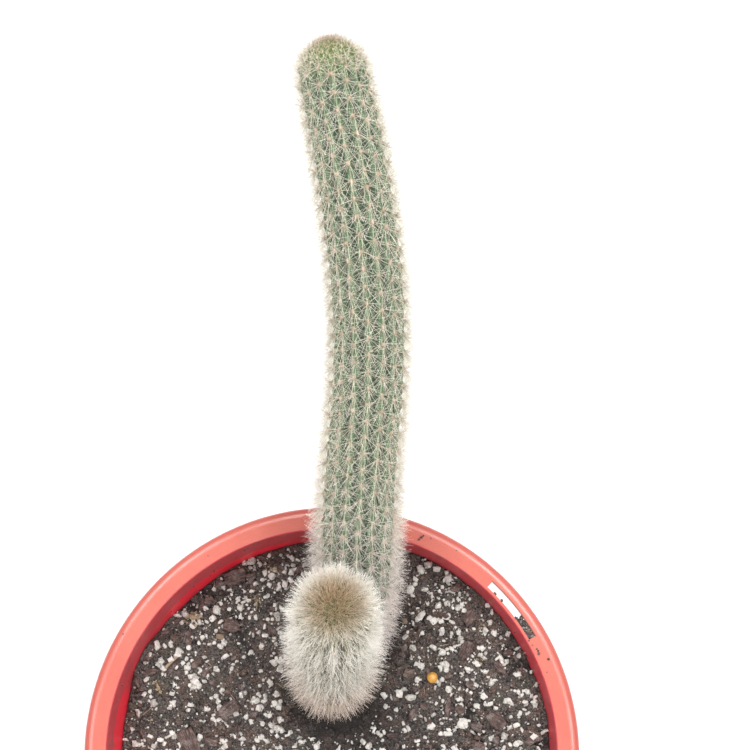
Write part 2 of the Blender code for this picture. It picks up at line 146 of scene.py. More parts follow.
GLOW_TURN = math.radians(45)
HEAP_TURN = math.radians(152)
HEAP_SHADE = (math.radians(14), math.radians(8))
# Soil smeared on the pot; the same brown is painted shade in the label slot.
SOIL_SMEAR_AND_SHADE = (0.15, 0.085, 0.075)
FLOW_STREAKS = 9.0
FLOW_BANDS = 5200.0
FINE_GRAIN = 2600.0


def make_piece(name, material, slot, vertices, faces, values=None, smooth=True):
    """One object from corners (n, 3) and arrays of faces, with numbers for the corners under each name.

    Numbers given once for each of the piece's equal parts are repeated for all corners of the part.
    """
    mesh = bpy.data.meshes.new(name)
    corners = np.concatenate([part.ravel() for part in faces]).astype(np.int32)
    sizes = np.concatenate([np.full(len(part), part.shape[1]) for part in faces])
    mesh.vertices.add(len(vertices))
    mesh.vertices.foreach_set("co", np.asarray(vertices, np.float32).ravel())
    mesh.loops.add(len(corners))
    mesh.loops.foreach_set("vertex_index", corners)
    mesh.polygons.add(len(sizes))
    mesh.polygons.foreach_set("loop_start", np.concatenate([[0], np.cumsum(sizes)[:-1]]).astype(np.int32))
    mesh.polygons.foreach_set("use_smooth", np.full(len(sizes), smooth))
    mesh.update(calc_edges=True)
    mesh.validate()
    for label, numbers in (values or {}).items():
        numbers = np.repeat(np.asarray(numbers, np.float32), len(vertices) // len(numbers))
        mesh.attributes.new(label, "FLOAT", "POINT").data.foreach_set("value", numbers)
    if material is not None:
        mesh.materials.append(material)
    piece = bpy.data.objects.new(name, mesh)
    bpy.context.scene.collection.objects.link(piece)
    if slot is not None:
        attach(piece, "root")
    return piece


def round_turns(count):
    """Angles spread evenly over a full turn."""
    return 2 * np.pi * np.arange(count) / count


def polar(radius, turn, *height):
    """Places (radius * cos(turn), radius * sin(turn)), with a height after them where one is given."""
    return np.stack(np.broadcast_arrays(radius * np.cos(turn), radius * np.sin(turn), *height), axis=-1)


def ring_faces(rows, columns, first=0):
    """Four-sided faces between neighbouring rings of corners, each ring closed on itself."""
    row, column = np.meshgrid(np.arange(rows - 1), np.arange(columns), indexing="ij")
    after = (column + 1) % columns
    low = first + row * columns
    high = low + columns
    return np.stack([low + column, low + after, high + after, high + column], axis=-1).reshape(-1, 4)


def fan(centre, ring_start, columns, upwards):
    """Triangles from a ring of corners to one corner in its middle, facing up or down."""
    column = np.arange(columns)
    after = (column + 1) % columns
    first, second = (column, after) if upwards else (after, column)
    return np.stack([ring_start + first, ring_start + second, np.full(columns, centre)], axis=1)


def closed_rings(rows, columns, clockwise=False):
    """Faces over rings of corners, closed by two more corners: one under the first ring and one over the last.

    The rings run anticlockwise seen from the last one, or else clockwise.
    """
    total = rows * columns
    faces = [ring_faces(rows, columns), fan(total, 0, columns, upwards=False),
             fan(total + 1, total - columns, columns, upwards=True)]
    return [part[:, ::-1] for part in faces] if clockwise else faces


def arc(centre, reach, start, end, count):
    """Points of an arc in a profile: centre + reach * (cos, sin) of angles in degrees. A pair for reach is an oval."""
    return np.array(centre) + np.array(reach) * polar(1, np.radians(np.linspace(start, end, count)))


def wall_inside(z):
    """Radius of the pot's inner wall at height z: the mouth's radius less the taper."""
    return MOUTH_RADIUS - (POT_HEIGHT - z) * WALL_TAPER


def pot_profile():
    """Half section (radius, height) from the middle of the floor up the inner wall, over the rim and down under."""
    floor_top = FLOOR + RECESS
    flange_under = POT_HEIGHT - FLANGE
    lip = POT_HEIGHT - FLANGE_DISH - EDGE_ROUND
    skirt_edge = POT_HEIGHT - SKIRT_DEPTH + EDGE_ROUND
    roll_start = RIM_RADIUS - ROLL_WIDTH
    inner_skirt = RIM_RADIUS - SKIRT_WALL
    corner = 2 * EDGE_ROUND
    wall_rows = np.linspace(floor_top + 3 * MM, lip, 24)
    outer_rows = POT_HEIGHT * np.array([0.75, 0.5, 0.25])
    dish = np.linspace(MOUTH_RADIUS + EDGE_ROUND, roll_start, 9)
    dish_share = (dish - dish[0]) / (dish[-1] - dish[0])
    return np.concatenate([
        [(0, floor_top), (PAD_RADIUS, floor_top), (RING_RADIUS, floor_top)],
        arc((wall_inside(floor_top) - INNER_ROUND, floor_top + INNER_ROUND), INNER_ROUND, -90, -5, 6),
        np.stack([wall_inside(wall_rows), wall_rows], axis=1),
        arc((MOUTH_RADIUS + EDGE_ROUND, lip), EDGE_ROUND, 175, 95, 4),
        np.stack([dish, POT_HEIGHT - FLANGE_DISH * (1 - dish_share ** 2)], axis=1),
        arc((roll_start, POT_HEIGHT - ROLL_DROP), (ROLL_WIDTH, ROLL_DROP), 84, 0, 12),
        arc((RIM_RADIUS - SKIRT_DRAFT - EDGE_ROUND, skirt_edge), EDGE_ROUND, 0, -90, 4),
        arc((inner_skirt - SKIRT_DRAFT + EDGE_ROUND, skirt_edge), EDGE_ROUND, -90, -180, 4),
        arc((inner_skirt - corner, flange_under - corner), corner, 0, 90, 4),
        arc((wall_inside(flange_under) + WALL + corner, flange_under - corner), corner, 90, 180, 4),
        np.stack([wall_inside(outer_rows) + WALL, outer_rows], axis=1),
        arc((wall_inside(FOOT_ROUND) + WALL - FOOT_ROUND, FOOT_ROUND), FOOT_ROUND, 0, -90, 6),
        [(RING_RADIUS, 0), (RING_RADIUS - RECESS, RECESS), (PAD_RADIUS + RECESS, RECESS), (PAD_RADIUS, 0), (0, 0)],
    ])


def turned(profile, columns):
    """Surface of revolution of a profile whose first and last points lie on the axis: each point becomes a ring."""
    inner = profile[1:-1]
    rings = polar(inner[:, :1], round_turns(columns), inner[:, 1:])
    vertices = np.concatenate([rings.reshape(-1, 3), polar(0, np.zeros(2), profile[[0, -1], 1])])
    return vertices, closed_rings(len(inner), columns, clockwise=True)


def cut(piece, rings):
    """Take a solid out of the piece for good: rings of corners (rows, columns, 3) joined up and closed by flat ends."""
    rows, columns = rings.shape[:2]
    ends = np.array([np.arange(columns)[::-1], np.arange(columns) + (rows - 1) * columns])
    cutter = make_piece("cutter", None, None, rings.reshape(-1, 3), [ring_faces(rows, columns), ends])
    modifier = piece.modifiers.new("cut", "BOOLEAN")
    modifier.operation = "DIFFERENCE"
    modifier.solver = "EXACT"
    modifier.object = cutter
    bpy.context.view_layer.update()
    piece.data = bpy.data.meshes.new_from_object(piece.evaluated_get(bpy.context.evaluated_depsgraph_get()))
    piece.modifiers.clear()
    bpy.data.objects.remove(cutter, do_unlink=True)


class Term:
    """A shader node's output, as a term of a formula: each sign of arithmetic makes a node in the same tree."""

    def __init__(self, socket):
        """A term that stands for one output socket."""
        self.socket = socket

    def other(self, key):
        """Another output of the same node."""
        return Term(self.socket.node.outputs[key])

    def __add__(self, other):
        """This term plus another."""
        return calc("ADD", self, other)

    def __sub__(self, other):
        """This term less another."""
        return calc("SUBTRACT", self, other)

    def __rsub__(self, other):
        """A plain number less this term."""
        return calc("SUBTRACT", other, self)

    def __mul__(self, other):
        """This term times another."""
        return calc("MULTIPLY", self, other)

    def __abs__(self):
        """The size of this term without its sign."""
        return calc("ABSOLUTE", self)


def plug(made, inputs):
    """Give a node's inputs, by name or number, terms or plain values. A colour is three numbers."""
    for key, value in inputs.items():
        socket = made.inputs[key]
        if isinstance(value, Term):
            made.id_data.links.new(value.socket, socket)
        else:
            socket.default_value = (*value, 1.0) if socket.type == "RGBA" else value


def node(kind, inputs, output=0, tree=None, **settings):
    """One output of a new shader node, made in the tree of its inputs' terms where no tree is given."""
    tree = tree or next(value.socket.id_data for value in inputs.values() if isinstance(value, Term))
    made = tree.nodes.new("ShaderNode" + kind)
    for name, setting in settings.items():
        setattr(made, name, setting)
    plug(made, inputs)
    return Term(made.outputs[output])


def calc(operation, *terms, clamp=False):
    """One step of arithmetic on numbers."""
    return node("Math", dict(enumerate(terms)), operation=operation, use_clamp=clamp)


def vector(operation, *terms, output="Vector"):
    """One step of arithmetic on places and directions."""
    return node("VectorMath", dict(enumerate(terms)), output, operation=operation)


def mix(share, first, second):
    """The first colour, with the second laid over it by a share from 0 to 1."""
    return node("Mix", {0: share, 6: first, 7: second}, 2, data_type="RGBA")


def layered(body, *layers):
    """A colour with others laid over it in turn, each given as its share and itself."""
    for share, colour in layers:
        body = mix(share, body, colour)
    return body


def shaded(colour, share):
    """A colour with its light cut down to a share."""
    return tuple(part * share for part in colour)


def noise(place, scale, detail=3.0, roughness=0.55):
    """Fractal noise from 0 to 1 at a place in metres, with its coarsest lumps 1 / scale across."""
    return node("TexNoise", {"Vector": place, "Scale": scale, "Detail": detail, "Roughness": roughness})


def step(value, low, high, end=1.0):
    """Smooth change from 0 to end as a value goes from low to high."""
    return node("MapRange", {"Value": value, "From Min": low, "From Max": high, "To Max": end},
                interpolation_type="SMOOTHSTEP")


def attribute(tree, name):
    """Number that the mesh stores for each corner under a name."""
    return node("Attribute", {}, "Fac", tree, attribute_name=name)


def own_place(tree):
    """Place on the piece, in metres, in its own axes."""
    return node("TexCoord", {}, "Object", tree)


def bump(height, distance, strength=1.0):
    """Normals of fine relief: a height from 0 to 1 times a distance in metres."""
    return node("Bump", {"Height": height, "Distance": distance, "Strength": strength})


def new_group(name, inputs, outputs):
    """Empty shader node group with sockets by name and kind: its tree, its inputs as terms, and its outlet."""
    tree = bpy.data.node_groups.new(name, "ShaderNodeTree")
    for way, sockets in (("INPUT", inputs), ("OUTPUT", outputs)):
        for label, kind in sockets.items():
            tree.interface.new_socket(label, in_out=way, socket_type="NodeSocket" + kind)
    inlet = tree.nodes.new("NodeGroupInput")
    return tree, {label: Term(inlet.outputs[label]) for label in inputs}, tree.nodes.new("NodeGroupOutput")


def new_material(name):
    """Material with one Principled shader, and its node tree."""
    material = bpy.data.materials.new(name)
    material.use_nodes = True
    return material, material.node_tree


def finished(material, inputs):
    """The material, once its shader's inputs are given."""
    plug(material.node_tree.nodes["Principled BSDF"], inputs)
    return material


def smear_group():
    """Soil smeared on a surface: noise in drifts, broken up by finer noise, as a share from 0 to 1."""
    tree, given, outlet = new_group("soil smear", {"Amount": "Float", "Size": "Float"}, {"Share": "Float"})
    place = own_place(tree)
    level = 1.0 - given["Amount"]
    share = step(noise(place, given["Size"], 4.0), level, level + 0.12)
    plug(outlet, {"Share": share * step(noise(place, FINE_GRAIN, 2.0), 0.35, 0.62)})
    return tree


soil_smear = smear_group()


def smeared(tree, amount, size):
    """Share of soil smeared on a surface."""
    return node("Group", {"Amount": amount, "Size": size}, tree=tree, node_tree=soil_smear)


def pot_plastic():
    """Coral plastic: salmon, with painted shade on the roll, skirt, slot and upper wall, and a painted crimson glow of
    daylight through the wall.

    A point belongs to the inner wall where its radius is less than that of the wall's middle at its height.
    """
    material, tree = new_material("coral plastic")
    place = own_place(tree)
    x = node("SeparateXYZ", {0: place})
    y = x.other("Y")
    z = x.other("Z")
    level_place = node("CombineXYZ", {0: x, 1: y})
    radius = vector("LENGTH", level_place, output="Value")
    turn = calc("ARCTAN2", y, x)
    depth = POT_HEIGHT - z
    wall_middle = MOUTH_RADIUS + WALL / 2 - depth * WALL_TAPER
    inside = step(wall_middle - radius, 0.05 * MM, 0.2 * MM) * step(z, 0.6 * FLOOR, FLOOR)

    heading = vector("MULTIPLY", vector("NORMALIZE", level_place), (FLOW_STREAKS,) * 3)
    flow = noise(vector("ADD", heading, node("CombineXYZ", {2: radius * FLOW_BANDS})), 1.0)
    cloud = noise(place, 60.0, 4.0)
    grain = noise(place, FINE_GRAIN, 2.0)
    from_slot = abs(radius - (SLOT_INNER + SLOT_WIDTH / 2))
    # Painted shade on the walls of the label slot.
    slot_wall_shade = step(from_slot, 0.55 * SLOT_WIDTH, 0.52 * SLOT_WIDTH) * step(depth, 0.15 * MM, 0.35 * MM)
    slot_middle = (SLOT_START + SLOT_END) / 2
    slot_half = SLOT_END - slot_middle
    # Painted shade along the slot's outer edge.
    from_edge = abs(radius - (SLOT_INNER + SLOT_WIDTH + 0.1 * MM))
    slot_edge_shade = step(from_edge, 0.24 * MM, 0.14 * MM) * step(abs(turn - slot_middle), slot_half + 0.006, slot_half)
    top = layered(
        CORAL,
        (step(flow, 0.3, 0.75), shaded(CORAL, 0.93)),
        (step(cloud, 0.35, 0.75, 0.7), CORAL_PALE),
        (step(grain, 0.45, 0.75, 0.5), shaded(CORAL, 0.86)),
        # Painted shade: the roll's outer edge and the skirt below the flange turn deeper red.
        (step(radius, RIM_RADIUS - 1.9 * MM, RIM_RADIUS - 0.7 * MM, 0.55), CORAL_EDGE_SHADE),
        (step(depth, 0.5 * MM, 3.0 * MM), CORAL_EDGE_SHADE),
        (slot_wall_shade * 0.85, SOIL_SMEAR_AND_SHADE),
        (slot_edge_shade * 0.75, SOIL_SMEAR_AND_SHADE))

    # Inner wall: maroon is painted shade where the skirt keeps daylight off, and crimson below it is a painted glow of
    # daylight through the thin plastic, dimmed where the mix heaps against the wall. The dirt is real soil smeared on
    # the wall.
    lean = calc("COSINE", turn - GLOW_TURN) * GLOW_LEAN
    below_skirt = step(depth + cloud * GLOW_WAVER - lean, GLOW_DEPTH, GLOW_DEPTH + GLOW_FADE)
    lit = below_skirt * (1.0 - step(abs(turn - HEAP_TURN), *HEAP_SHADE) * 0.7)
    dirt = calc("ADD", smeared(tree, 0.46, 190.0) * 0.5, smeared(tree, 0.40, 1300.0) * 0.5, clamp=True)
    wall = layered(MAROON, (lit, CRIMSON), (dirt, SOIL_SMEAR_AND_SHADE))

    along = calc("PINGPONG", turn - EJECTOR_TURN, math.pi / EJECTOR_MARKS) * EJECTOR_RING
    reach = vector("LENGTH", node("CombineXYZ", {0: along, 1: radius - EJECTOR_RING}), output="Value")
    mark = calc("MAXIMUM", step(abs(reach - EJECTOR_RADIUS), 0.08 * MM, 0.3 * MM), step(depth, 0.6 * MM, 0.8 * MM))
    # The emission is the painted glow of the inner wall, less where soil is smeared over it.
    return finished(material, {
        "Base Color": mix(inside, top, wall), "IOR": 1.56, "Roughness": cloud * 0.09 + 0.17 + inside * 0.22,
        "Emission Strength": 1.0, "Emission Color": mix(inside * (GLOW - dirt * GLOW), BLACK, wall),
        "Normal": bump((flow * 0.6 + grain * 0.4) * 0.5 + mark, 0.12 * MM, 0.8)})


pot = make_piece("nursery_pot", pot_plastic(), "pot_plastic", *turned(pot_profile(), POT_SIDES))
cut(pot, polar(SLOT_INNER + SLOT_WIDTH * np.array([0, 0, 1, 1]),
               np.linspace(SLOT_START, SLOT_END, SLOT_STEPS + 1)[:, None],
               POT_HEIGHT + FLANGE * np.array([-2.5, 1, 1, -2.5])))
drain_post = polar(DRAIN_RADIUS, round_turns(DRAIN_SIDES), FLOOR * np.array([[-2], [3]]))
for drain_turn in round_turns(DRAIN_HOLES) + DRAIN_TURN:
    cut(pot, drain_post + polar(DRAIN_RING, drain_turn, 0))
pot.data.set_sharp_from_angle(angle=SHARP_EDGE)
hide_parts("pot")


# Potting mix
# Composted bark, peat and grit that fills the pot to about a finger's width under the rim. Its top is loose:
# overlapping flakes of bark a few millimetres wide, crumbs between them, and dips round the stems.
soil_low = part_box("soil")[0]
MIX_LEVEL = POT_HEIGHT - 13.7 * MM
MIX_SLOPE = 0.072
MIX_CELLS = 216
WALL_GAP = 0.2 * MM
FLAKE_SIZE = 4.4 * MM
CRUMB_SIZE = 1.6 * MM
LONG_FOOT = (5.6 * MM, 33.2 * MM)
SHORT_FOOT = (-0.3 * MM, 18.6 * MM)
FOOT_CLEAR = 11 * MM
FOOT_FADE = 5 * MM
FOOT_DIP = 0.9 * MM
# The patch beside the stems is darkened partly by moisture and partly by painted shadow.
DAMP_SHADOW_PLACE = (5.0 * MM, 10.0 * MM, MIX_LEVEL)
DAMP_SHADOW_REACH = 25 * MM
LOOSE_CRUMBS = 3000
CRUMB_SIZES = (0.6 * MM, 2.3 * MM)
MIX_DARK = (0.014, 0.011, 0.010)
MIX_GREY = (0.110, 0.092, 0.084)
MIX_BROWN = (0.125, 0.074, 0.056)
MIX_OLIVE = (0.088, 0.084, 0.062)
MIX_DUST = (0.32, 0.28, 0.25)
MIX_GRIT = 11000
GRIT_SIZES = (0.25 * MM, 0.95 * MM)
BANKS = ((HEAP_TURN, math.radians(12), 6.0 * MM), (math.radians(57), math.radians(20), 2.0 * MM))
BANK_START = 49 * MM
BANK_WIDTH = 11 * MM


def chance(column, row, seed):
    """A number from 0 to 1 for each cell of a grid: the fraction of a large multiple of the sine of its place."""
    return np.abs(np.sin(column * 127.1 + row * 311.7 + seed * 74.7) * 43758.5453) % 1.0


def hills(x, y, size, seed):
    """Rolling noise from -1 to 1: numbers at the corners of cells of a size, blended smoothly across each cell."""
    u, v = x / size, y / size
    column, row = np.floor(u), np.floor(v)
    a, b = (share * share * (3 - 2 * share) for share in (u - column, v - row))
    low, high = (chance(column, side, seed) * (1 - a) + chance(column + 1, side, seed) * a for side in (row, row + 1))
    return 2 * (low * (1 - b) + high * b) - 1


def shards(x, y, size, seed):
    """Flat shards, one in each cell of a grid: a place belongs to the nearest shard's middle.

    Gives each place the height of its shard, tilted its own way and falling off at its rim, from about -1 to 1,
    and a number from 0 to 1 that is the same all over the shard.
    """
    u, v = x / size, y / size
    best, second, height, tone = (np.full(np.shape(u), start) for start in (9.0, 9.0, 0.0, 0.0))
    for across in (-1, 0, 1):
        for along in (-1, 0, 1):
            column, row = np.floor(u) + across, np.floor(v) + along
            middle_u, middle_v, stretch, way, level, own_tone = (chance(column, row, seed + n) for n in range(6))
            du = u - column - middle_u
            dv = v - row - middle_v
            distance = np.hypot(du, dv * (0.7 + 0.6 * stretch))
            nearer = distance < best
            second = np.where(nearer, best, np.minimum(second, distance))
            best = np.where(nearer, distance, best)
            tilt = 1.3 * (du * np.cos(2 * np.pi * way) + dv * np.sin(2 * np.pi * way))
            height = np.where(nearer, 1.4 * level - 0.7 + tilt, height)
            tone = np.where(nearer, own_tone, tone)
    rim = np.clip((second - best) / 0.22, 0, 1)
    return height * rim - 0.9 * (1 - rim), tone


def mix_level(x):
    """Even level of the mix, which slopes down towards -X."""
    return MIX_LEVEL + MIX_SLOPE * x


def foot_share(x, y):
    """1 at the stems' feet, falling to 0 a few millimetres away."""
    nearest = np.minimum(*(np.hypot(x - foot[0], y - foot[1]) for foot in (LONG_FOOT, SHORT_FOOT)))
    return np.clip(1 - (nearest - FOOT_CLEAR) / FOOT_FADE, 0, 1)


def bank(x, y):
    """Height of the mix heaped against the wall: each heap rises towards the wall and fades to both sides."""
    beside_wall = np.clip((np.hypot(x, y) - BANK_START) / BANK_WIDTH, 0, 1) ** 1.2
    turn = np.arctan2(y, x)
    along = sum(height * np.exp(-((turn - middle) / spread) ** 4) for middle, spread, height in BANKS)
    return beside_wall * along * (0.85 + 0.3 * hills(x, y, 5 * MM, 9))


def mix_relief(x, y):
    """Height of the top of the mix over its even level, and the tones of its flakes and crumbs."""
    flakes, flake_tone = shards(x + 0.8 * MM * hills(x, y, 3 * MM, 2), y + 0.8 * MM * hills(x, y, 3 * MM, 3),
                                FLAKE_SIZE, 10)
    crumbs, crumb_tone = shards(x, y, CRUMB_SIZE, 30)
    flaky = np.clip(0.5 + 1.4 * hills(x, y, 9 * MM, 5), 0, 1)
    relief = 0.7 * MM * hills(x, y, 13 * MM, 1) + flaky * 0.6 * MM * flakes + (1 - 0.5 * flaky) * 0.45 * MM * crumbs
    relief = relief + 0.14 * MM * hills(x, y, 0.7 * MM, 4) + bank(x, y)
    calm = foot_share(x, y)
    return relief * (1 - 0.6 * calm) - FOOT_DIP * calm, np.where(flaky > 0.6, flake_tone, crumb_tone)


def mix_height(x, y):
    """Height of the top of the mix."""
    return mix_level(x) + mix_relief(x, y)[0]


def disc_grid(cells):
    """A square grid of places from -1 to 1 squeezed into the unit disc, so that its edge follows the circle.

    On the side of the square where |a| >= |b| the radius is a and the angle is 45 degrees times b / a, and the
    other way round on the other sides.
    """
    line = np.linspace(-1, 1, cells + 1)
    a, b = np.meshgrid(line, line, indexing="ij")
    wide = np.abs(a) >= np.abs(b)
    radius = np.where(wide, a, b)
    safe = np.where(radius == 0, 1.0, radius)
    return polar(radius, np.where(wide, np.pi / 4 * b / safe, np.pi / 2 - np.pi / 4 * a / safe))


def mix_body():
    """The mix as one closed body: its rough top, the side against the pot's wall and the flat foot."""
    plan = disc_grid(MIX_CELLS)
    share = np.maximum(np.linalg.norm(plan, axis=-1), 1e-9)
    reach = wall_inside(mix_level(MOUTH_RADIUS * plan[..., 0] / share)) - WALL_GAP
    edge = plan * (reach / share)[..., None]
    reach = reach + (wall_inside(mix_height(edge[..., 0], edge[..., 1])) - WALL_GAP - reach) * share ** 12
    x, y = np.moveaxis(plan * reach[..., None], -1, 0)
    relief, tone = mix_relief(x, y)
    top = np.stack([x, y, mix_level(x) + relief], axis=-1)
    number = np.arange(x.size).reshape(x.shape)
    rim = np.concatenate([number[:-1, 0], number[-1, :-1], number[:0:-1, -1], number[0, :0:-1]])
    rim_place = top.reshape(-1, 3)[rim]
    vertices = [top.reshape(-1, 3)]
    for sunk in (0.33, 0.66, 1.0):
        z = rim_place[:, 2] * (1 - sunk) + soil_low.z * sunk
        radius = np.minimum(np.hypot(*rim_place.T[:2]), wall_inside(z) - WALL_GAP) - (sunk == 1.0) * 1.2 * MM
        vertices.append(polar(radius, np.arctan2(rim_place[:, 1], rim_place[:, 0]), z))
    vertices = np.concatenate(vertices + [[(0, 0, soil_low.z)]])
    count = len(rim)
    side = x.size + np.arange(count)
    faces = [np.stack([number[:-1, :-1], number[1:, :-1], number[1:, 1:], number[:-1, 1:]], axis=-1).reshape(-1, 4),
             np.stack([rim, side, np.roll(side, -1), np.roll(rim, -1)], axis=1),
             ring_faces(3, count, first=x.size)[:, ::-1],
             fan(len(vertices) - 1, x.size + 2 * count, count, upwards=False)]
    below = len(vertices) - x.size
    return vertices, faces, {"tone": np.append(tone.ravel(), np.full(below, 0.4)),
                             "height": np.append(relief.ravel() / MM, np.zeros(below))}


def speckle_group():
    """Two colours of one material, mottled at a size, and the fine relief that goes with them."""
    tree, given, outlet = new_group(
        "speckle", {"First": "Color", "Second": "Color", "Size": "Float", "Contrast": "Float"},
        {"Color": "Color", "Relief": "Float"})
    coarse = noise(own_place(tree), given["Size"], 4.0, 0.65)
    half = (step(coarse, 0.32, 0.68) - 0.5) * given["Contrast"]
    share = calc("ADD", half, 0.5, clamp=True)
    plug(outlet, {"Color": mix(share, given["First"], given["Second"]), "Relief": coarse})
    return tree


speckle = speckle_group()


def speckled(tree, first, second, size, contrast):
    """Mottled colour of a surface. The same node's other output, Relief, is its fine relief."""
    return node("Group", {"First": first, "Second": second, "Size": size, "Contrast": contrast}, tree=tree,
                node_tree=speckle)


def damp_and_shadow_group():
    """Darkening of the mix beside the stems, partly moisture and partly painted shadow: 1 at its place, falling to 0
    over its reach.
    """
    tree, given, outlet = new_group("damp_and_shadow", {"Color": "Color"}, {"Color": "Color"})
    place = own_place(tree)
    away = vector("DISTANCE", place, DAMP_SHADOW_PLACE, output="Value") + noise(place, 160.0) * (8 * MM)
    plug(outlet, {"Color": mix(step(away, DAMP_SHADOW_REACH, 0.4 * DAMP_SHADOW_REACH, 0.62), given["Color"], MIX_DARK)})
    return tree


damp_and_shadow = damp_and_shadow_group()


def potting_mix():
    """Dark peat with greyer and browner crumbs: each crumb has its own tone, and hollows are darker with painted shade.
    Beside the stems it darkens from moisture and painted shadow.

    Tones under 0 are nearly black, and those over 1 are pale with dust.
    """
    material, tree = new_material("potting mix")
    tone = attribute(tree, "tone")
    place = own_place(tree)
    patch = noise(place, 150.0, 2.0)
    grain = speckled(tree, MIX_DARK, MIX_GREY, 1500.0, 1.5)
    body = layered(
        grain,
        (step(tone, 0.0, 1.0, 0.5), MIX_GREY),
        (step(tone, 0.45, 0.62) * step(tone, 0.85, 0.72) * 0.7, MIX_BROWN),
        (step(patch, 0.54, 0.66, 0.45), MIX_BROWN),
        (step(patch, 0.46, 0.36, 0.5), MIX_OLIVE),
        (step(noise(place, 2100.0, roughness=0.8), 0.56, 0.62) * 0.6, MIX_DUST),
        (step(noise(place, 2300.0, 2.0), 0.45, 0.38) * 0.85, shaded(MIX_DARK, 0.4)),
        # Painted shade in the hollows of the mix, by its height; loose crumbs are given random heights.
        (step(attribute(tree, "height"), 0.0, -1.2, 0.9), shaded(MIX_DARK, 0.5)),
        (step(tone, 1.0, 1.3, 0.9), MIX_DUST),
        (step(tone, 0.0, -0.2, 0.9), shaded(MIX_DARK, 0.5)))
    return finished(material, {"Base Color": node("Group", {"Color": body}, node_tree=damp_and_shadow), "Roughness": 0.9,
                               "Normal": bump(grain.other("Relief"), 0.6 * MM)})


mix_finish = potting_mix()
mix_top = make_piece("potting_mix", mix_finish, "potting_mix", *mix_body())
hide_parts("soil")


def on_plane(pixels, level, slope):
    """Places in plan where the sight lines through pixels of the picture meet the plane z = level + slope * x."""
    lines = sight_lines(pixels)
    reach = (level + slope * CAMERA_PLACE[0] - CAMERA_PLACE[2]) / (lines[:, 2] - slope * lines[:, 0])
    return (CAMERA_PLACE + reach[:, None] * lines)[:, :2]


def on_mix(pixels):
    """Places in plan on the even level of the mix that pixels of the picture show."""
    return on_plane(pixels, MIX_LEVEL, MIX_SLOPE)


def unit(vectors):
    """Vectors of length 1."""
    return vectors / np.linalg.norm(vectors, axis=-1, keepdims=True)


def between(span, shares):
    """Numbers between the two of a span, by shares from 0 to 1."""
    return span[0] + (span[1] - span[0]) * shares


def repeated(faces, count, each):
    """Faces of one part, repeated for a count of equal parts of so many corners each."""
    start = (np.arange(count) * each)[:, None, None]
    return [(part[None] + start).reshape(-1, part.shape[1]) for part in faces]


def grain_shape():
    """The 26 corners and 24 four-sided faces of a cube with each side cut in four, half way blown out to a ball."""
    line = np.array([-1, 0, 1])
    grid = np.stack(np.meshgrid(line, line, line, indexing="ij"), axis=-1).reshape(-1, 3)
    number = np.cumsum(np.any(grid != 0, axis=1)) - 1
    faces = []
    for axis in range(3):
        for side in (-1, 1):
            for low_u in (-1, 0):
                for low_v in (-1, 0):
                    corners = np.full((4, 3), side)
                    corners[:, (axis + 1) % 3] = [low_u, low_u + 1, low_u + 1, low_u]
                    corners[:, (axis + 2) % 3] = [low_v, low_v, low_v + 1, low_v + 1]
                    faces.append(number[(corners[::side] + 1) @ np.array([9, 3, 1])])
    cube = grid[np.any(grid != 0, axis=1)].astype(float)
    return 0.6 * unit(cube) + 0.32 * cube, np.array(faces)


GRAIN_SHAPE, GRAIN_FACES = grain_shape()
DUST_SHAPE = np.concatenate([np.eye(3), -np.eye(3)])
DUST_FACES = np.array([[0, 1, 2], [1, 3, 2], [3, 4, 2], [4, 0, 2], [1, 0, 5], [3, 1, 5], [4, 3, 5], [0, 4, 5]])


def turned_any_way(shapes, rng):
    """Shapes (n, corners, 3), each turned any way: rotations spread evenly, from random unit quaternions."""
    w, x, y, z = unit(rng.normal(size=(4, len(shapes))).T).T
    turns = np.array([[1 - 2 * (y * y + z * z), 2 * (x * y - w * z), 2 * (x * z + w * y)],
                      [2 * (x * y + w * z), 1 - 2 * (x * x + z * z), 2 * (y * z - w * x)],
                      [2 * (x * z - w * y), 2 * (y * z + w * x), 1 - 2 * (x * x + y * y)]])
    return np.einsum("ijn,nkj->nki", turns, shapes)


def grains(places, sizes, rng, bumps, stretch, flat):
    """Rough grains: corners pushed in or out by a share, then stretched, turned any way, flattened and placed."""
    count = len(places)
    shape = GRAIN_SHAPE * (1 + rng.uniform(-bumps, bumps, (count, len(GRAIN_SHAPE), 1)))
    shape = shape * (1 + rng.uniform(-stretch, stretch, (count, 1, 3))) * (sizes / 2)[:, None, None]
    vertices = places[:, None] + turned_any_way(shape, rng) * [1, 1, flat]
    return vertices.reshape(-1, 3), repeated([GRAIN_FACES], count, len(GRAIN_SHAPE))


def chips_of_dust(places, sizes, rng):
    """Tiny grains: six corners on three crossed axes of random length, turned any way, joined by eight triangles."""
    count = len(places)
    shape = DUST_SHAPE * rng.uniform(0.5, 1.3, (count, 6, 1)) * (sizes / 2)[:, None, None]
    return (places[:, None] + turned_any_way(shape, rng)).reshape(-1, 3), repeated([DUST_FACES], count, 6)


def strewn(count, rng, patchiness, seed, nearest=0.3):
    """Random places on the mix, kept with a chance that follows rolling noise, so that they gather in patches.

    None is kept where the share of the stems' feet is over the nearest one asked for.
    """
    spread = 8 * count
    radius = (wall_inside(MIX_LEVEL) - 1.2 * MM) * np.sqrt(rng.random(spread))
    plan = polar(radius, 2 * np.pi * rng.random(spread))
    patch = 0.5 + 0.5 * (0.6 * hills(*plan.T, 11 * MM, seed) + 0.4 * hills(*plan.T, 4.5 * MM, seed + 1))
    kept = rng.random(spread) < (1 - patchiness) + patchiness * patch ** 2
    return plan[kept & (foot_share(*plan.T) < nearest)][:count]


def inside_wall(plan, reach):
    """Places moved in towards the pot's axis where a piece that reaches so far would go through the pot's wall."""
    limit = wall_inside(mix_level(plan[:, 0])) - reach
    return plan * np.minimum(1, limit / np.maximum(np.hypot(*plan.T), 1e-9))[:, None]


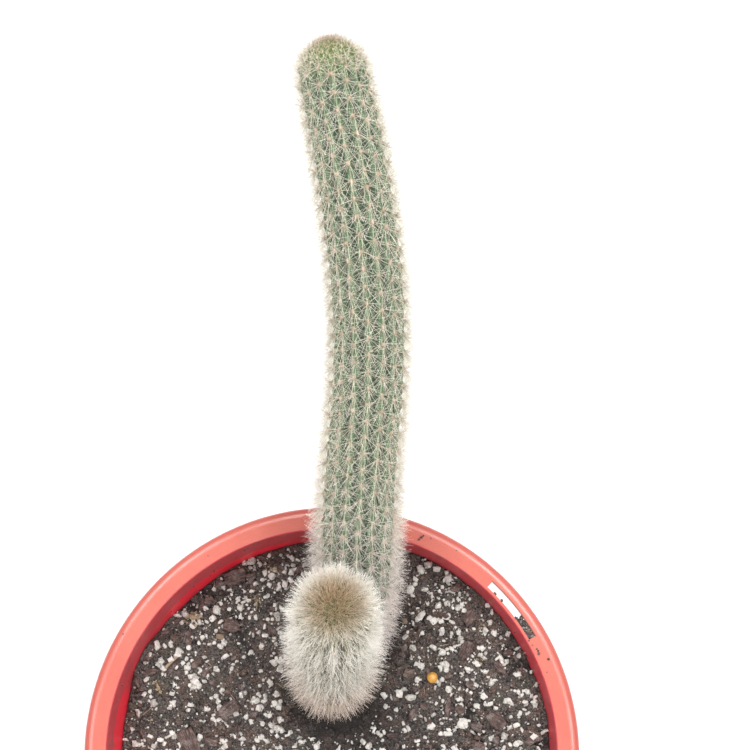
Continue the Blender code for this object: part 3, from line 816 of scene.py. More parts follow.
def resting(plan, sizes, sink):
    """Places of grains that lie on the mix, inside the wall, sunk into the mix by a share of their size."""
    plan = inside_wall(plan, 0.7 * sizes)
    return np.column_stack([plan, mix_height(*plan.T) + (0.5 - sink) * sizes])


mix_rng = np.random.default_rng(8)
crumb_plan = strewn(LOOSE_CRUMBS, mix_rng, 0.3, 40, nearest=1.0)
crumb_sizes = between(CRUMB_SIZES, mix_rng.random(len(crumb_plan)) ** 1.8)
make_piece("loose_crumbs", mix_finish, "potting_mix",
           *grains(resting(crumb_plan, crumb_sizes, 0.38), crumb_sizes, mix_rng, 0.3, 0.4, 0.7),
           {"tone": mix_rng.random(len(crumb_plan)), "height": mix_rng.uniform(-0.3, 0.4, len(crumb_plan))},
           smooth=False)
grit_plan = strewn(MIX_GRIT, mix_rng, 0.2, 44, nearest=1.0)
grit_sizes = between(GRIT_SIZES, mix_rng.random(len(grit_plan)) ** 1.4)
make_piece("fine_grit", mix_finish, "potting_mix",
           *chips_of_dust(resting(grit_plan, grit_sizes, 0.15), grit_sizes, mix_rng),
           {"tone": mix_rng.uniform(-0.3, 1.3, len(grit_plan)), "height": [0.0]}, smooth=False)


# Perlite
# Expanded volcanic glass, as light and white as popcorn, in rough grains from half a millimetre to three
# millimetres. It is strewn through the mix and gathers in patches on top.
PERLITE_GRAINS = 3100
PERLITE_FINES = 2600
FINES_SIZE = (0.25 * MM, 0.75 * MM)
PERLITE_SIZE = (0.4 * MM, 1.75 * MM)
PERLITE_WHITE = (0.68, 0.65, 0.605)
PERLITE_SHADE = (0.27, 0.245, 0.22)
PIXEL_ON_MIX = 0.29 * MM
PERLITE_LUMPS = (
    (195, 682, 15, 17, 9), (160, 665, 12, 10, 5), (201, 671, 9, 8, 3), (159, 646, 7, 7, 1), (226, 656, 6, 7, 1),
    (172, 611, 9, 6, 2), (243, 560, 10, 6, 3), (285, 585, 9, 9, 3), (278, 590, 8, 6, 3), (219, 720, 10, 8, 3),
    (172, 703, 8, 10, 2), (255, 701, 7, 8, 1), (216, 670, 10, 6, 3), (266, 741, 9, 9, 3), (185, 614, 7, 7, 1),
    (217, 610, 7, 7, 1), (206, 608, 8, 7, 2), (240, 608, 7, 9, 3), (252, 560, 9, 9, 4), (226, 643, 12, 7, 4),
    (178, 656, 12, 10, 4), (262, 737, 8, 6, 2), (241, 695, 9, 6, 2), (233, 735, 7, 8, 2), (206, 709, 6, 8, 2),
    (421, 615, 8, 9, 1), (430, 618, 8, 7, 1), (410, 589, 7, 6, 1), (413, 596, 8, 6, 2), (423, 589, 6, 6, 1),
    (420, 665, 7, 8, 1), (452, 650, 12, 7, 4), (442, 652, 7, 7, 1), (411, 698, 9, 12, 1), (445, 665, 11, 10, 5),
    (450, 690, 11, 10, 5), (484, 696, 12, 9, 5), (461, 713, 7, 6, 1), (464, 723, 14, 13, 9), (490, 704, 7, 7, 1),
    (497, 716, 7, 8, 2), (501, 728, 7, 9, 2), (506, 701, 10, 7, 3), (545, 731, 7, 11, 3), (510, 632, 5, 8, 1),
    (518, 648, 5, 7, 1), (448, 579, 4, 8, 1), (421, 569, 8, 8, 1), (437, 569, 6, 7, 1), (430, 562, 7, 7, 1),
    (461, 604, 9, 7, 4), (443, 632, 9, 7, 4), (488, 605, 7, 6, 2), (493, 611, 6, 5, 1), (534, 671, 6, 7, 2),
    (538, 685, 6, 8, 2), (424, 559, 6, 5, 2), (448, 571, 6, 5, 2), (456, 577, 5, 5, 2), (468, 588, 6, 5, 2),
    (479, 655, 8, 8, 3), (432, 726, 10, 10, 4), (414, 717, 7, 7, 2),
)


def lump_grains(lumps, rng, spread=0.84):
    """Grains of lumps seen in the picture: the first of each lump in its middle, the others strewn over its oval.

    A lump is its pixel, its width, its height and its number of grains. The oval is its width and height times the
    spread, and the grains' sizes are shares of the lump's own.
    """
    lumps = np.array(lumps, float)
    lumps = np.repeat(lumps, lumps[:, 4].astype(int), axis=0)
    first = np.append(True, np.any(lumps[1:] != lumps[:-1], axis=1))
    angle = 2 * np.pi * rng.random(len(lumps))
    reach = np.where(first, 0, spread / 2 * np.sqrt(rng.random(len(lumps))))
    share = np.where(first, np.where(lumps[:, 4] == 1, 1.0, 0.62), rng.uniform(0.28, 0.6, len(lumps)))
    plan = on_mix(lumps[:, :2] + polar(reach, angle) * lumps[:, 2:4])
    return plan, PIXEL_ON_MIX * share * lumps[:, 2:4].mean(axis=1)


def perlite():
    """White glass froth, greyer where peat dust sits in its pores."""
    material, tree = new_material("perlite")
    tone = attribute(tree, "tone")
    pores = speckled(tree, PERLITE_SHADE, PERLITE_WHITE, 1700.0, 1.0)
    body = layered(
        pores,
        (0.7, PERLITE_WHITE),
        (step(tone, 0.3, 1.0), pores),
        (step(tone, 0.8, 1.0, 0.5), PERLITE_SHADE))
    return finished(material, {"Base Color": body, "Roughness": 0.8, "Normal": bump(pores.other("Relief"), 0.35 * MM)})


perlite_rng = np.random.default_rng(21)
perlite_plan = strewn(PERLITE_GRAINS, perlite_rng, 0.82, 60)
perlite_sizes = between(PERLITE_SIZE, perlite_rng.random(len(perlite_plan)) ** 1.5)
lump_plan, lump_sizes = lump_grains(PERLITE_LUMPS, perlite_rng)
perlite_plan = np.concatenate([perlite_plan, lump_plan])
perlite_sizes = np.concatenate([perlite_sizes, lump_sizes])
perlite_finish = perlite()
make_piece("perlite_grains", perlite_finish, "potting_mix",
           *grains(resting(perlite_plan, perlite_sizes, 0.28), perlite_sizes, perlite_rng, 0.22, 0.5, 0.8),
           {"tone": perlite_rng.random(len(perlite_plan))}, smooth=False)
fines_plan = strewn(PERLITE_FINES, perlite_rng, 0.75, 60)
fines_sizes = between(FINES_SIZE, perlite_rng.random(len(fines_plan)) ** 1.5)
make_piece("perlite_fines", perlite_finish, "potting_mix",
           *chips_of_dust(resting(fines_plan, fines_sizes, 0.2), fines_sizes, perlite_rng),
           {"tone": perlite_rng.random(len(fines_plan))}, smooth=False)


# Bark
# Chipped pine bark: eight large chips and a litter of small flakes and splinters lie flat on the mix. They are
# dull maroon brown, with broken edges and dust on top, and a few are pale straw.
BARK_CHIPS = ((-28.6, 51.0, 8.6, 5.4, 20), (-43.0, 33.0, 6.4, 5.0, 70), (-29.5, 36.8, 6.4, 4.6, -15),
              (-30.0, 12.5, 8.2, 5.6, 40), (-41.5, 3.5, 10.0, 6.4, 115), (38.5, 29.5, 6.8, 4.4, 65),
              (47.0, 9.5, 7.6, 5.2, -35), (22.0, -22.0, 9.0, 5.4, 10))
CHIP_THICKNESS = 1.7 * MM
CHIP_CORNERS = 26
CHIP_EDGE = math.radians(50)
PICTURE_FLAKES = ((251, 579, 17, 8, 50), (222, 584, 22, 8, 15), (173, 668, 28, 7, 45), (141, 669, 25, 14, 10),
                  (150, 657, 18, 10, 50), (137, 680, 16, 9, -70), (197, 663, 18, 10, 30), (220, 637, 14, 8, -20),
                  (456, 588, 18, 10, 30), (470, 618, 24, 15, 60), (410, 632, 14, 10, 0), (410, 674, 18, 14, 20),
                  (448, 708, 26, 8, 85), (477, 727, 18, 14, -30), (532, 740, 26, 14, 20), (500, 668, 20, 11, -50),
                  (160, 628, 16, 9, 35), (212, 742, 20, 11, -15))
BARK_FLAKES = 380
FLAKE_LENGTH = (1.3 * MM, 4.6 * MM)
FLAKE_CORNERS = 9
SPLINTERS = 260
SPLINTER_LENGTH = (2.0 * MM, 7.0 * MM)
BARK_BROWN = (0.135, 0.082, 0.071)
BARK_DARK = (0.030, 0.020, 0.018)
BARK_DUST = (0.26, 0.215, 0.195)
STRAW = (0.24, 0.175, 0.115)
SLAB_RINGS = ((0.90, 0.0), (1.0, 0.5), (0.93, 0.9), (0.6, 1.0))


def mounds(outlines, heights, rings, wobble, foot, crown, rng):
    """Low lumps in their own axes: outlines (n, corners, 2) carried up through rings, and two corners that close them.

    A ring is a share of the outline, unsteady by a wobble, and a share of the height. The foot is the level of the
    corner below, and the crown is the share of the height at which the one on top stands.
    """
    count, corners = outlines.shape[:2]
    parts = []
    for share, rise in rings:
        unsteady = share * (1 + rng.uniform(-wobble, wobble, (count, corners)))
        parts.append(np.dstack([outlines * unsteady[..., None], np.tile(rise * heights[:, None], corners)]))
    for level in (np.full(count, foot), crown * heights):
        parts.append(polar(0, np.zeros(count), level)[:, None])
    return np.concatenate(parts, axis=1)


def slabs(places, lengths, widths, thickness, turns, tilts, rng, corners, raggedness):
    """Flat broken pieces: an uneven outline carried up through four rings, from foot to top edge, and closed.

    A ring's corners stand at angle a and reach length / 2 * cos(a), width / 2 * sin(a), times the ragged outline
    and the ring's share. The top is crowned a little and the whole piece leans by its tilts.
    """
    count = len(places)
    angle = 2 * np.pi * (np.arange(corners) + rng.uniform(-0.25, 0.25, (count, corners))) / corners
    reach = 1 - rng.uniform(0, raggedness, (count, corners))
    square = 1 / np.maximum(np.abs(np.cos(angle)), np.abs(np.sin(angle))) ** 0.45
    outlines = polar(0.45 * reach * square, angle) * np.stack([lengths, widths], axis=1)[:, None]
    shape = mounds(outlines, thickness, SLAB_RINGS, 0.05, 0.0, 1.02, rng)
    values = {"grain_u": shape[..., 0].ravel() / MM, "grain_v": shape[..., 1].ravel() / MM}
    shape[..., 2] += np.einsum("nki,ni->nk", shape[..., :2], tilts)
    distance = np.hypot(shape[..., 0], shape[..., 1])
    heading = np.arctan2(shape[..., 1], shape[..., 0]) + turns[:, None]
    vertices = polar(distance, heading, shape[..., 2]) + places[:, None]
    return vertices.reshape(-1, 3), repeated(closed_rings(4, corners), count, 4 * corners + 2), values


def bark():
    """Maroon-brown bark: fibres along its length, dust where the noise is high, straw yellow for the highest tones.

    The fibres are noise of the piece's own length and width in millimetres, drawn out six times along its length.
    """
    material, tree = new_material("bark")
    tone = attribute(tree, "tone")
    grain = speckled(tree, BARK_DARK, BARK_BROWN, 800.0, 1.0)
    fibre_place = node("CombineXYZ", {0: attribute(tree, "grain_u") * (1 / 6), 1: attribute(tree, "grain_v"),
                                      2: tone * 40.0})
    fibre = noise(fibre_place, 2.4, roughness=0.7)
    body = layered(
        grain,
        (tone * 0.5, BARK_BROWN),
        (step(fibre, 0.52, 0.4, 0.75), BARK_DARK),
        (step(fibre, 0.56, 0.66, 0.5), BARK_DUST),
        (smeared(tree, 0.52, 420.0) * 0.6, BARK_DUST),
        (step(tone, 0.92, 0.96, 0.8), STRAW))
    # Bark beside the stems gets the same moist darkening and painted shadow as the mix.
    return finished(material, {"Base Color": node("Group", {"Color": body}, node_tree=damp_and_shadow), "Roughness": 0.85,
                               "Normal": bump(grain.other("Relief") * 0.5 + fibre, 0.5 * MM)})


bark_finish = bark()
bark_rng = np.random.default_rng(5)
for number, (chip_x, chip_y, chip_length, chip_width, chip_turn) in enumerate(np.array(BARK_CHIPS)[..., None], 1):
    chip_plan = np.column_stack([chip_x, chip_y]) * MM
    chip_vertices, chip_faces, chip_values = slabs(
        np.column_stack([chip_plan, mix_level(chip_plan[:, 0]) - 0.1 * MM]), chip_length * MM, chip_width * MM,
        np.array([CHIP_THICKNESS]), np.radians(chip_turn), bark_rng.uniform(-0.1, 0.1, (1, 2)), bark_rng,
        CHIP_CORNERS, 0.2)
    chip_values["tone"] = [bark_rng.uniform(0.3, 0.9)]
    chip = make_piece("bark_%d" % number, bark_finish, "bark", chip_vertices, chip_faces, chip_values)
    chip.data.set_sharp_from_angle(angle=CHIP_EDGE)
    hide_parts("bark_chip_%d" % number)

flake_plan = strewn(BARK_FLAKES, bark_rng, 0.5, 80)
flake_lengths = between(FLAKE_LENGTH, bark_rng.random(len(flake_plan)) ** 2.2)
flake_widths = flake_lengths * bark_rng.uniform(0.4, 0.85, len(flake_plan))
splinter_plan = strewn(SPLINTERS, bark_rng, 0.2, 90)
splinter_lengths = between(SPLINTER_LENGTH, bark_rng.random(len(splinter_plan)) ** 2)
splinter_widths = bark_rng.uniform(0.25, 0.7, len(splinter_plan)) * MM
picture_flakes = np.array(PICTURE_FLAKES, float)
flake_plan = np.concatenate([flake_plan, splinter_plan, on_mix(picture_flakes[:, :2])])
flake_lengths = np.concatenate([flake_lengths, splinter_lengths, picture_flakes[:, 2] * PIXEL_ON_MIX])
flake_widths = np.concatenate([flake_widths, splinter_widths, picture_flakes[:, 3] * PIXEL_ON_MIX])
flake_turns = bark_rng.uniform(0, 2 * np.pi, len(flake_plan))
flake_turns[-len(picture_flakes):] = np.radians(picture_flakes[:, 4])
flake_thickness = flake_widths * bark_rng.uniform(0.16, 0.34, len(flake_plan)) + 0.12 * MM
flake_lean = flake_turns - np.arctan2(flake_plan[:, 1], flake_plan[:, 0])
flake_reach = np.hypot(flake_lengths * np.cos(flake_lean), flake_widths * np.sin(flake_lean)) / 2
flake_plan = inside_wall(flake_plan, flake_reach)
flake_vertices, flake_faces, flake_values = slabs(
    np.column_stack([flake_plan, mix_height(*flake_plan.T) + 0.1 * MM]), flake_lengths, flake_widths,
    flake_thickness, flake_turns, bark_rng.uniform(-0.2, 0.2, (len(flake_plan), 2)), bark_rng, FLAKE_CORNERS, 0.4)
flake_values["tone"] = bark_rng.random(len(flake_plan))
make_piece("bark_flakes", bark_finish, "bark", flake_vertices, flake_faces, flake_values, smooth=False)


# Straw and root fibres
# Crumbled straw-coloured lumps of coir lie among the bark, with a few twigs and hair-thin pale root fibres that
# curl over the mix. The larger ones are placed where the picture shows them.
STRAW_LUMPS = ((256, 598, 5, 5, 16), (193, 619, 7, 6, 34), (271, 570, 6, 4, 22), (159, 687, 5, 5, 20),
               (482, 660, 5, 4, 12), (152, 720, 4, 3, 8), (484, 628, 4, 3, 8))
LUMP_SPREAD = 2.4
FIBRE_PATHS = (
    (495, 624, 502, 629, 504, 636, 0.14), (512, 644, 518, 652, 514, 660, 0.12), (452, 648, 461, 655, 476, 656, 0.14),
    (480, 682, 488, 682, 493, 675, 0.12), (510, 695, 522, 701, 537, 711, 0.45), (162, 674, 172, 660, 183, 653, 0.55),
    (242, 708, 250, 705, 252, 697, 0.12), (208, 663, 210, 664, 212, 667, 0.22), (430, 668, 433, 660, 441, 655, 0.12),
    (455, 672, 466, 678, 474, 690, 0.12), (226, 690, 238, 700, 243, 716, 0.12), (137, 718, 150, 712, 158, 700, 0.13),
    (301, 571, 291, 577, 288, 590, 0.10), (470, 615, 478, 606, 487, 608, 0.11),
)
WILD_FIBRES = 46
WILD_REACH = (2.5 * MM, 7.5 * MM)
WILD_BOW = 1.6 * MM
WILD_RADIUS = (0.06 * MM, 0.13 * MM)
FIBRE_RINGS = 9
FIBRE_SIDES = 5
FIBRE_TAN = (0.36, 0.26, 0.19)
FIBRE_BROWN = (0.14, 0.085, 0.06)
STRAW_GOLD = (0.42, 0.33, 0.21)
STRAW_BROWN = (0.13, 0.095, 0.065)


def threads(starts, middles, ends, radii):
    """Thin round threads that lie on the mix along curves from start to end, drawn towards their middle points.

    In plan a point of the curve is (1 - t)^2 * start + 2 * t * (1 - t) * middle + t^2 * end, and its height is the
    mix's own. The thread's radius is its own times the fourth root of sin(pi * t), so that it thins at both ends.
    """
    t = np.linspace(0.01, 0.99, FIBRE_RINGS)[None, :, None]
    plan = (1 - t) ** 2 * starts[:, None] + 2 * t * (1 - t) * middles[:, None] + t ** 2 * ends[:, None]
    radius = radii[:, None] * np.sin(np.pi * t[..., 0]) ** 0.25
    level = mix_height(plan[..., 0], plan[..., 1]) + 0.15 * MM + 0.5 * radii[:, None]
    centre = np.dstack([plan, level])
    ahead = unit(np.gradient(centre, axis=1))
    side = unit(np.cross(ahead, [0.0, 0.0, 1.0]))
    below = np.cross(ahead, side)
    angle = round_turns(FIBRE_SIDES)[:, None]
    spread = np.cos(angle) * side[:, :, None] + np.sin(angle) * below[:, :, None]
    corners = (centre[:, :, None] + radius[..., None, None] * spread).reshape(len(starts), -1, 3)
    vertices = np.concatenate([corners, centre[:, :1], centre[:, -1:]], axis=1)
    return vertices.reshape(-1, 3), repeated(closed_rings(FIBRE_RINGS, FIBRE_SIDES), *vertices.shape[:2])


def plant_litter(name, dark, light):
    """Dry plant matter between two colours, mottled and matt."""
    material, tree = new_material(name)
    grain = speckled(tree, dark, light, 1200.0, 0.8)
    return finished(material, {"Base Color": mix(attribute(tree, "tone") * 0.6, grain, light), "Roughness": 0.8,
                               "Normal": bump(grain.other("Relief"), 0.3 * MM)})


litter_rng = np.random.default_rng(12)
straw_plan, straw_sizes = lump_grains(STRAW_LUMPS, litter_rng, LUMP_SPREAD)
make_piece("straw_lumps", plant_litter("straw", STRAW_BROWN, STRAW_GOLD), "bark",
           *grains(resting(straw_plan, straw_sizes, 0.2), straw_sizes, litter_rng, 0.3, 0.6, 0.7),
           {"tone": litter_rng.random(len(straw_plan))}, smooth=False)

fibre_paths = np.array(FIBRE_PATHS)
fibre_points = on_mix(fibre_paths[:, :6].reshape(-1, 2)).reshape(-1, 3, 2)
wild_starts = strewn(WILD_FIBRES, litter_rng, 0.2, 100)
wild_turns = litter_rng.uniform(0, 2 * np.pi, len(wild_starts))
wild_reach = polar(litter_rng.uniform(*WILD_REACH, len(wild_starts)), wild_turns)
wild_bow = litter_rng.normal(0, WILD_BOW, (len(wild_starts), 2))
wild_points = np.stack([wild_starts, wild_starts + wild_reach / 2 + wild_bow, wild_starts + wild_reach], axis=1)
fibre_points = np.concatenate([fibre_points, wild_points])
fibre_radii = np.append(fibre_paths[:, 6] * MM, litter_rng.uniform(*WILD_RADIUS, len(wild_starts)))
fibre_kept = np.max(np.linalg.norm(fibre_points, axis=-1), axis=1) < wall_inside(MIX_LEVEL) - 3 * MM
make_piece("root_fibres", plant_litter("root fibre", FIBRE_BROWN, FIBRE_TAN), "bark",
           *threads(*np.moveaxis(fibre_points[fibre_kept], 1, 0), fibre_radii[fibre_kept]),
           {"tone": litter_rng.random(np.count_nonzero(fibre_kept))})


# Dirt on the pot
# Potting mix is wedged in one end of the label slot, a few crumbs lie on the flange where a hand dropped them,
# and fine grit sticks to the inner wall above the mix.
SLOT_PLUG_END = math.radians(35.4)
PLUG_GRAINS = 210
RIM_CRUMBS = ((421.0, 537.5, 0.75), (423.5, 536.0, 0.6), (419.0, 539.5, 0.5), (431.0, 538.0, 0.35),
              (456.7, 550.3, 0.4), (548.5, 659.3, 0.65), (538.0, 651.0, 0.55), (538.8, 653.6, 0.6),
              (536.8, 649.0, 0.45), (532.5, 645.3, 0.4), (546.9, 672.4, 0.4), (529.0, 640.5, 0.4),
              (123.0, 634.0, 0.35), (208.0, 556.0, 0.3))
SLOT_CRUMBS = ((44.0, 0.9), (44.3, 0.6), (41.6, 0.8), (35.9, 0.9), (36.3, 0.6))
WALL_SPECKS = 80
WALL_SPECK_DEPTH = (2.5 * MM, 12.5 * MM)
WALL_SPECK_SIZE = (0.22 * MM, 1.02 * MM)

dirt_rng = np.random.default_rng(3)
plug_turn = dirt_rng.uniform(SLOT_START + 0.003, SLOT_PLUG_END, PLUG_GRAINS)
plug_radius = SLOT_INNER + SLOT_WIDTH * dirt_rng.uniform(0.08, 0.92, PLUG_GRAINS)
plug_places = polar(plug_radius, plug_turn, POT_HEIGHT - dirt_rng.uniform(0.35, 1.5, PLUG_GRAINS) * MM)
plug_sizes = dirt_rng.uniform(0.45, 1.1, PLUG_GRAINS) * MM
rim_crumbs = np.array(RIM_CRUMBS)
rim_sizes = rim_crumbs[:, 2] * MM
rim_places = np.column_stack([on_plane(rim_crumbs[:, :2], POT_HEIGHT, 0.0), POT_HEIGHT + 0.12 * rim_sizes])
edge_turn, edge_sizes = np.array(SLOT_CRUMBS).T * [[math.radians(1)], [MM]]
edge_places = polar(SLOT_INNER + 0.25 * edge_sizes, edge_turn, POT_HEIGHT - 0.3 * MM)
dirt_sizes = np.concatenate([plug_sizes, rim_sizes, edge_sizes])
loose_dirt = len(dirt_sizes) - PLUG_GRAINS
make_piece("rim_dirt", mix_finish, "potting_mix",
           *grains(np.concatenate([plug_places, rim_places, edge_places]), dirt_sizes, dirt_rng, 0.3, 0.4, 0.7),
           {"tone": np.append(dirt_rng.uniform(0.2, 1.3, PLUG_GRAINS), dirt_rng.uniform(0.3, 0.8, loose_dirt)),
            "height": [0.0]}, smooth=False)

speck_turn = dirt_rng.uniform(0, 2 * np.pi, WALL_SPECKS)
speck_height = POT_HEIGHT - between(WALL_SPECK_DEPTH, dirt_rng.random(WALL_SPECKS) ** 0.5)
speck_sizes = between(WALL_SPECK_SIZE, dirt_rng.random(WALL_SPECKS) ** 2)
speck_places = polar(wall_inside(speck_height) - 0.2 * speck_sizes, speck_turn, speck_height)
make_piece("wall_specks", mix_finish, "potting_mix", *chips_of_dust(speck_places, speck_sizes, dirt_rng),
           {"tone": dirt_rng.uniform(0.75, 1.25, WALL_SPECKS), "height": [0.0]}, smooth=False)


# Fertiliser prill
# One ball of slow-release fertiliser lies on the mix: a glossy amber resin coat, slightly dented and flattened.
prill_box = np.array(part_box("fertiliser_prill"))
PRILL_ROWS = 21
PRILL_SIDES = 32
PRILL_DENTS = 0.035
PRILL_AMBER = (0.62, 0.33, 0.07)
PRILL_BROWN = (0.34, 0.14, 0.03)


def prill_ball():
    """A ball with shallow dents: its radius is cut by soft waves of its direction."""
    tilt = np.radians(np.linspace(0, 180, PRILL_ROWS))
    ball, faces = turned(np.stack([np.sin(tilt), np.cos(tilt)], axis=1), PRILL_SIDES)
    x, y, z = ball.T
    dents = 1 - PRILL_DENTS * (1 + np.sin(3.1 * x + 4 * y) * np.cos(3.7 * z + 1))
    return prill_box.mean(axis=0) + (prill_box[1] - prill_box[0]) / 2 * ball * dents[:, None], faces


def resin_coat():
    """Amber resin with browner blotches and a soft gloss."""
    material, tree = new_material("resin coat")
    place = own_place(tree)
    blotch = step(noise(place, 900.0), 0.42, 0.75) * 0.7
    return finished(material, {"Base Color": mix(blotch, PRILL_AMBER, PRILL_BROWN), "Roughness": 0.32,
                               "Normal": bump(noise(place, 1800.0), 0.15 * MM)})


prill = make_piece("prill", resin_coat(), "prill_coat", *prill_ball())
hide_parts("fertiliser_prill")


# Stems
# Each stem is one fluted green column with sixteen low ribs. Felted cushions, the areoles, sit on the ribs'
# crests, staggered between neighbours, and each carries a burst of fine bristles.
LONG_ROUTE = ((5.6, 33.2, 101.0), (5.6, 33.2, 107.0), (5.6, 33.5, 112.5), (6.0, 37.0, 119.5), (6.7, 46.5, 129.0),
              (7.5, 64.6, 145.2), (8.7, 80.5, 159.6), (10.4, 100.0, 176.4), (10.4, 116.0, 189.2),
              (8.8, 131.0, 200.6), (5.2, 152.0, 215.4), (2.0, 166.0, 224.5), (0.7, 174.7, 229.9))
SHORT_ROUTE = ((-0.3, 18.6, 101.0), (-0.3, 18.6, 107.0), (-0.3, 18.8, 112.5), (-0.1, 20.6, 119.0),
               (0.3, 25.0, 130.0), (0.9, 32.2, 147.0), (1.4, 37.0, 160.0), (1.6, 39.2, 170.0))
LONG_RADII = ((0, 6.6), (12, 6.7), (18, 7.4), (27, 8.7), (40, 9.8), (60, 10.0), (90, 9.6), (130, 9.55),
              (165, 9.15), (190, 8.6), (215, 8.2))
SHORT_RADII = ((0, 6.6), (12, 6.7), (18, 7.5), (28, 8.7), (38, 9.3), (55, 9.6), (80, 9.6))
LONG_DOME_AREOLES = 72
LONG_SHOULDER_ROWS = 2
SHORT_DOME_AREOLES = 78
SHORT_SHOULDER_ROWS = 0
ROUTE_POINTS = 1200
DOME_HEIGHT = 1.05
RIBS = 16
RIB_DEPTH = 1.15 * MM
TUBERCLE = 0.3 * MM
RIB_START = 12 * MM
RIB_GROWTH = 9 * MM
LOW_PITCH = 5.4 * MM
TOP_PITCH = 4.5 * MM
PITCH_SWELL = (LOW_PITCH - TOP_PITCH) / (LOW_PITCH + TOP_PITCH)
RIB_COLUMNS = 8
BODY_STEP = 0.62 * MM
DOME_STEPS = 22
GOLDEN_ANGLE = math.radians(137.508)
FELT_LENGTH = 1.25 * MM
FELT_WIDTH = 1.0 * MM
FELT_HEIGHT = 0.55 * MM
FELT_SIDES = 8
FELT_RINGS = ((1.0, 0.0), (0.72, 0.62))
FELT_PEACH = (0.54, 0.40, 0.29)
FELT_CREAM = (0.64, 0.51, 0.38)
LONG_GREEN = (0.125, 0.215, 0.105)
LONG_FLUTE_SHADE = (0.036, 0.072, 0.042)
LONG_YOUNG = (0.090, 0.150, 0.015)
SHORT_GREEN = (0.21, 0.215, 0.11)
SHORT_FLUTE_SHADE = (0.085, 0.08, 0.05)
SHORT_YOUNG = (0.13, 0.135, 0.045)


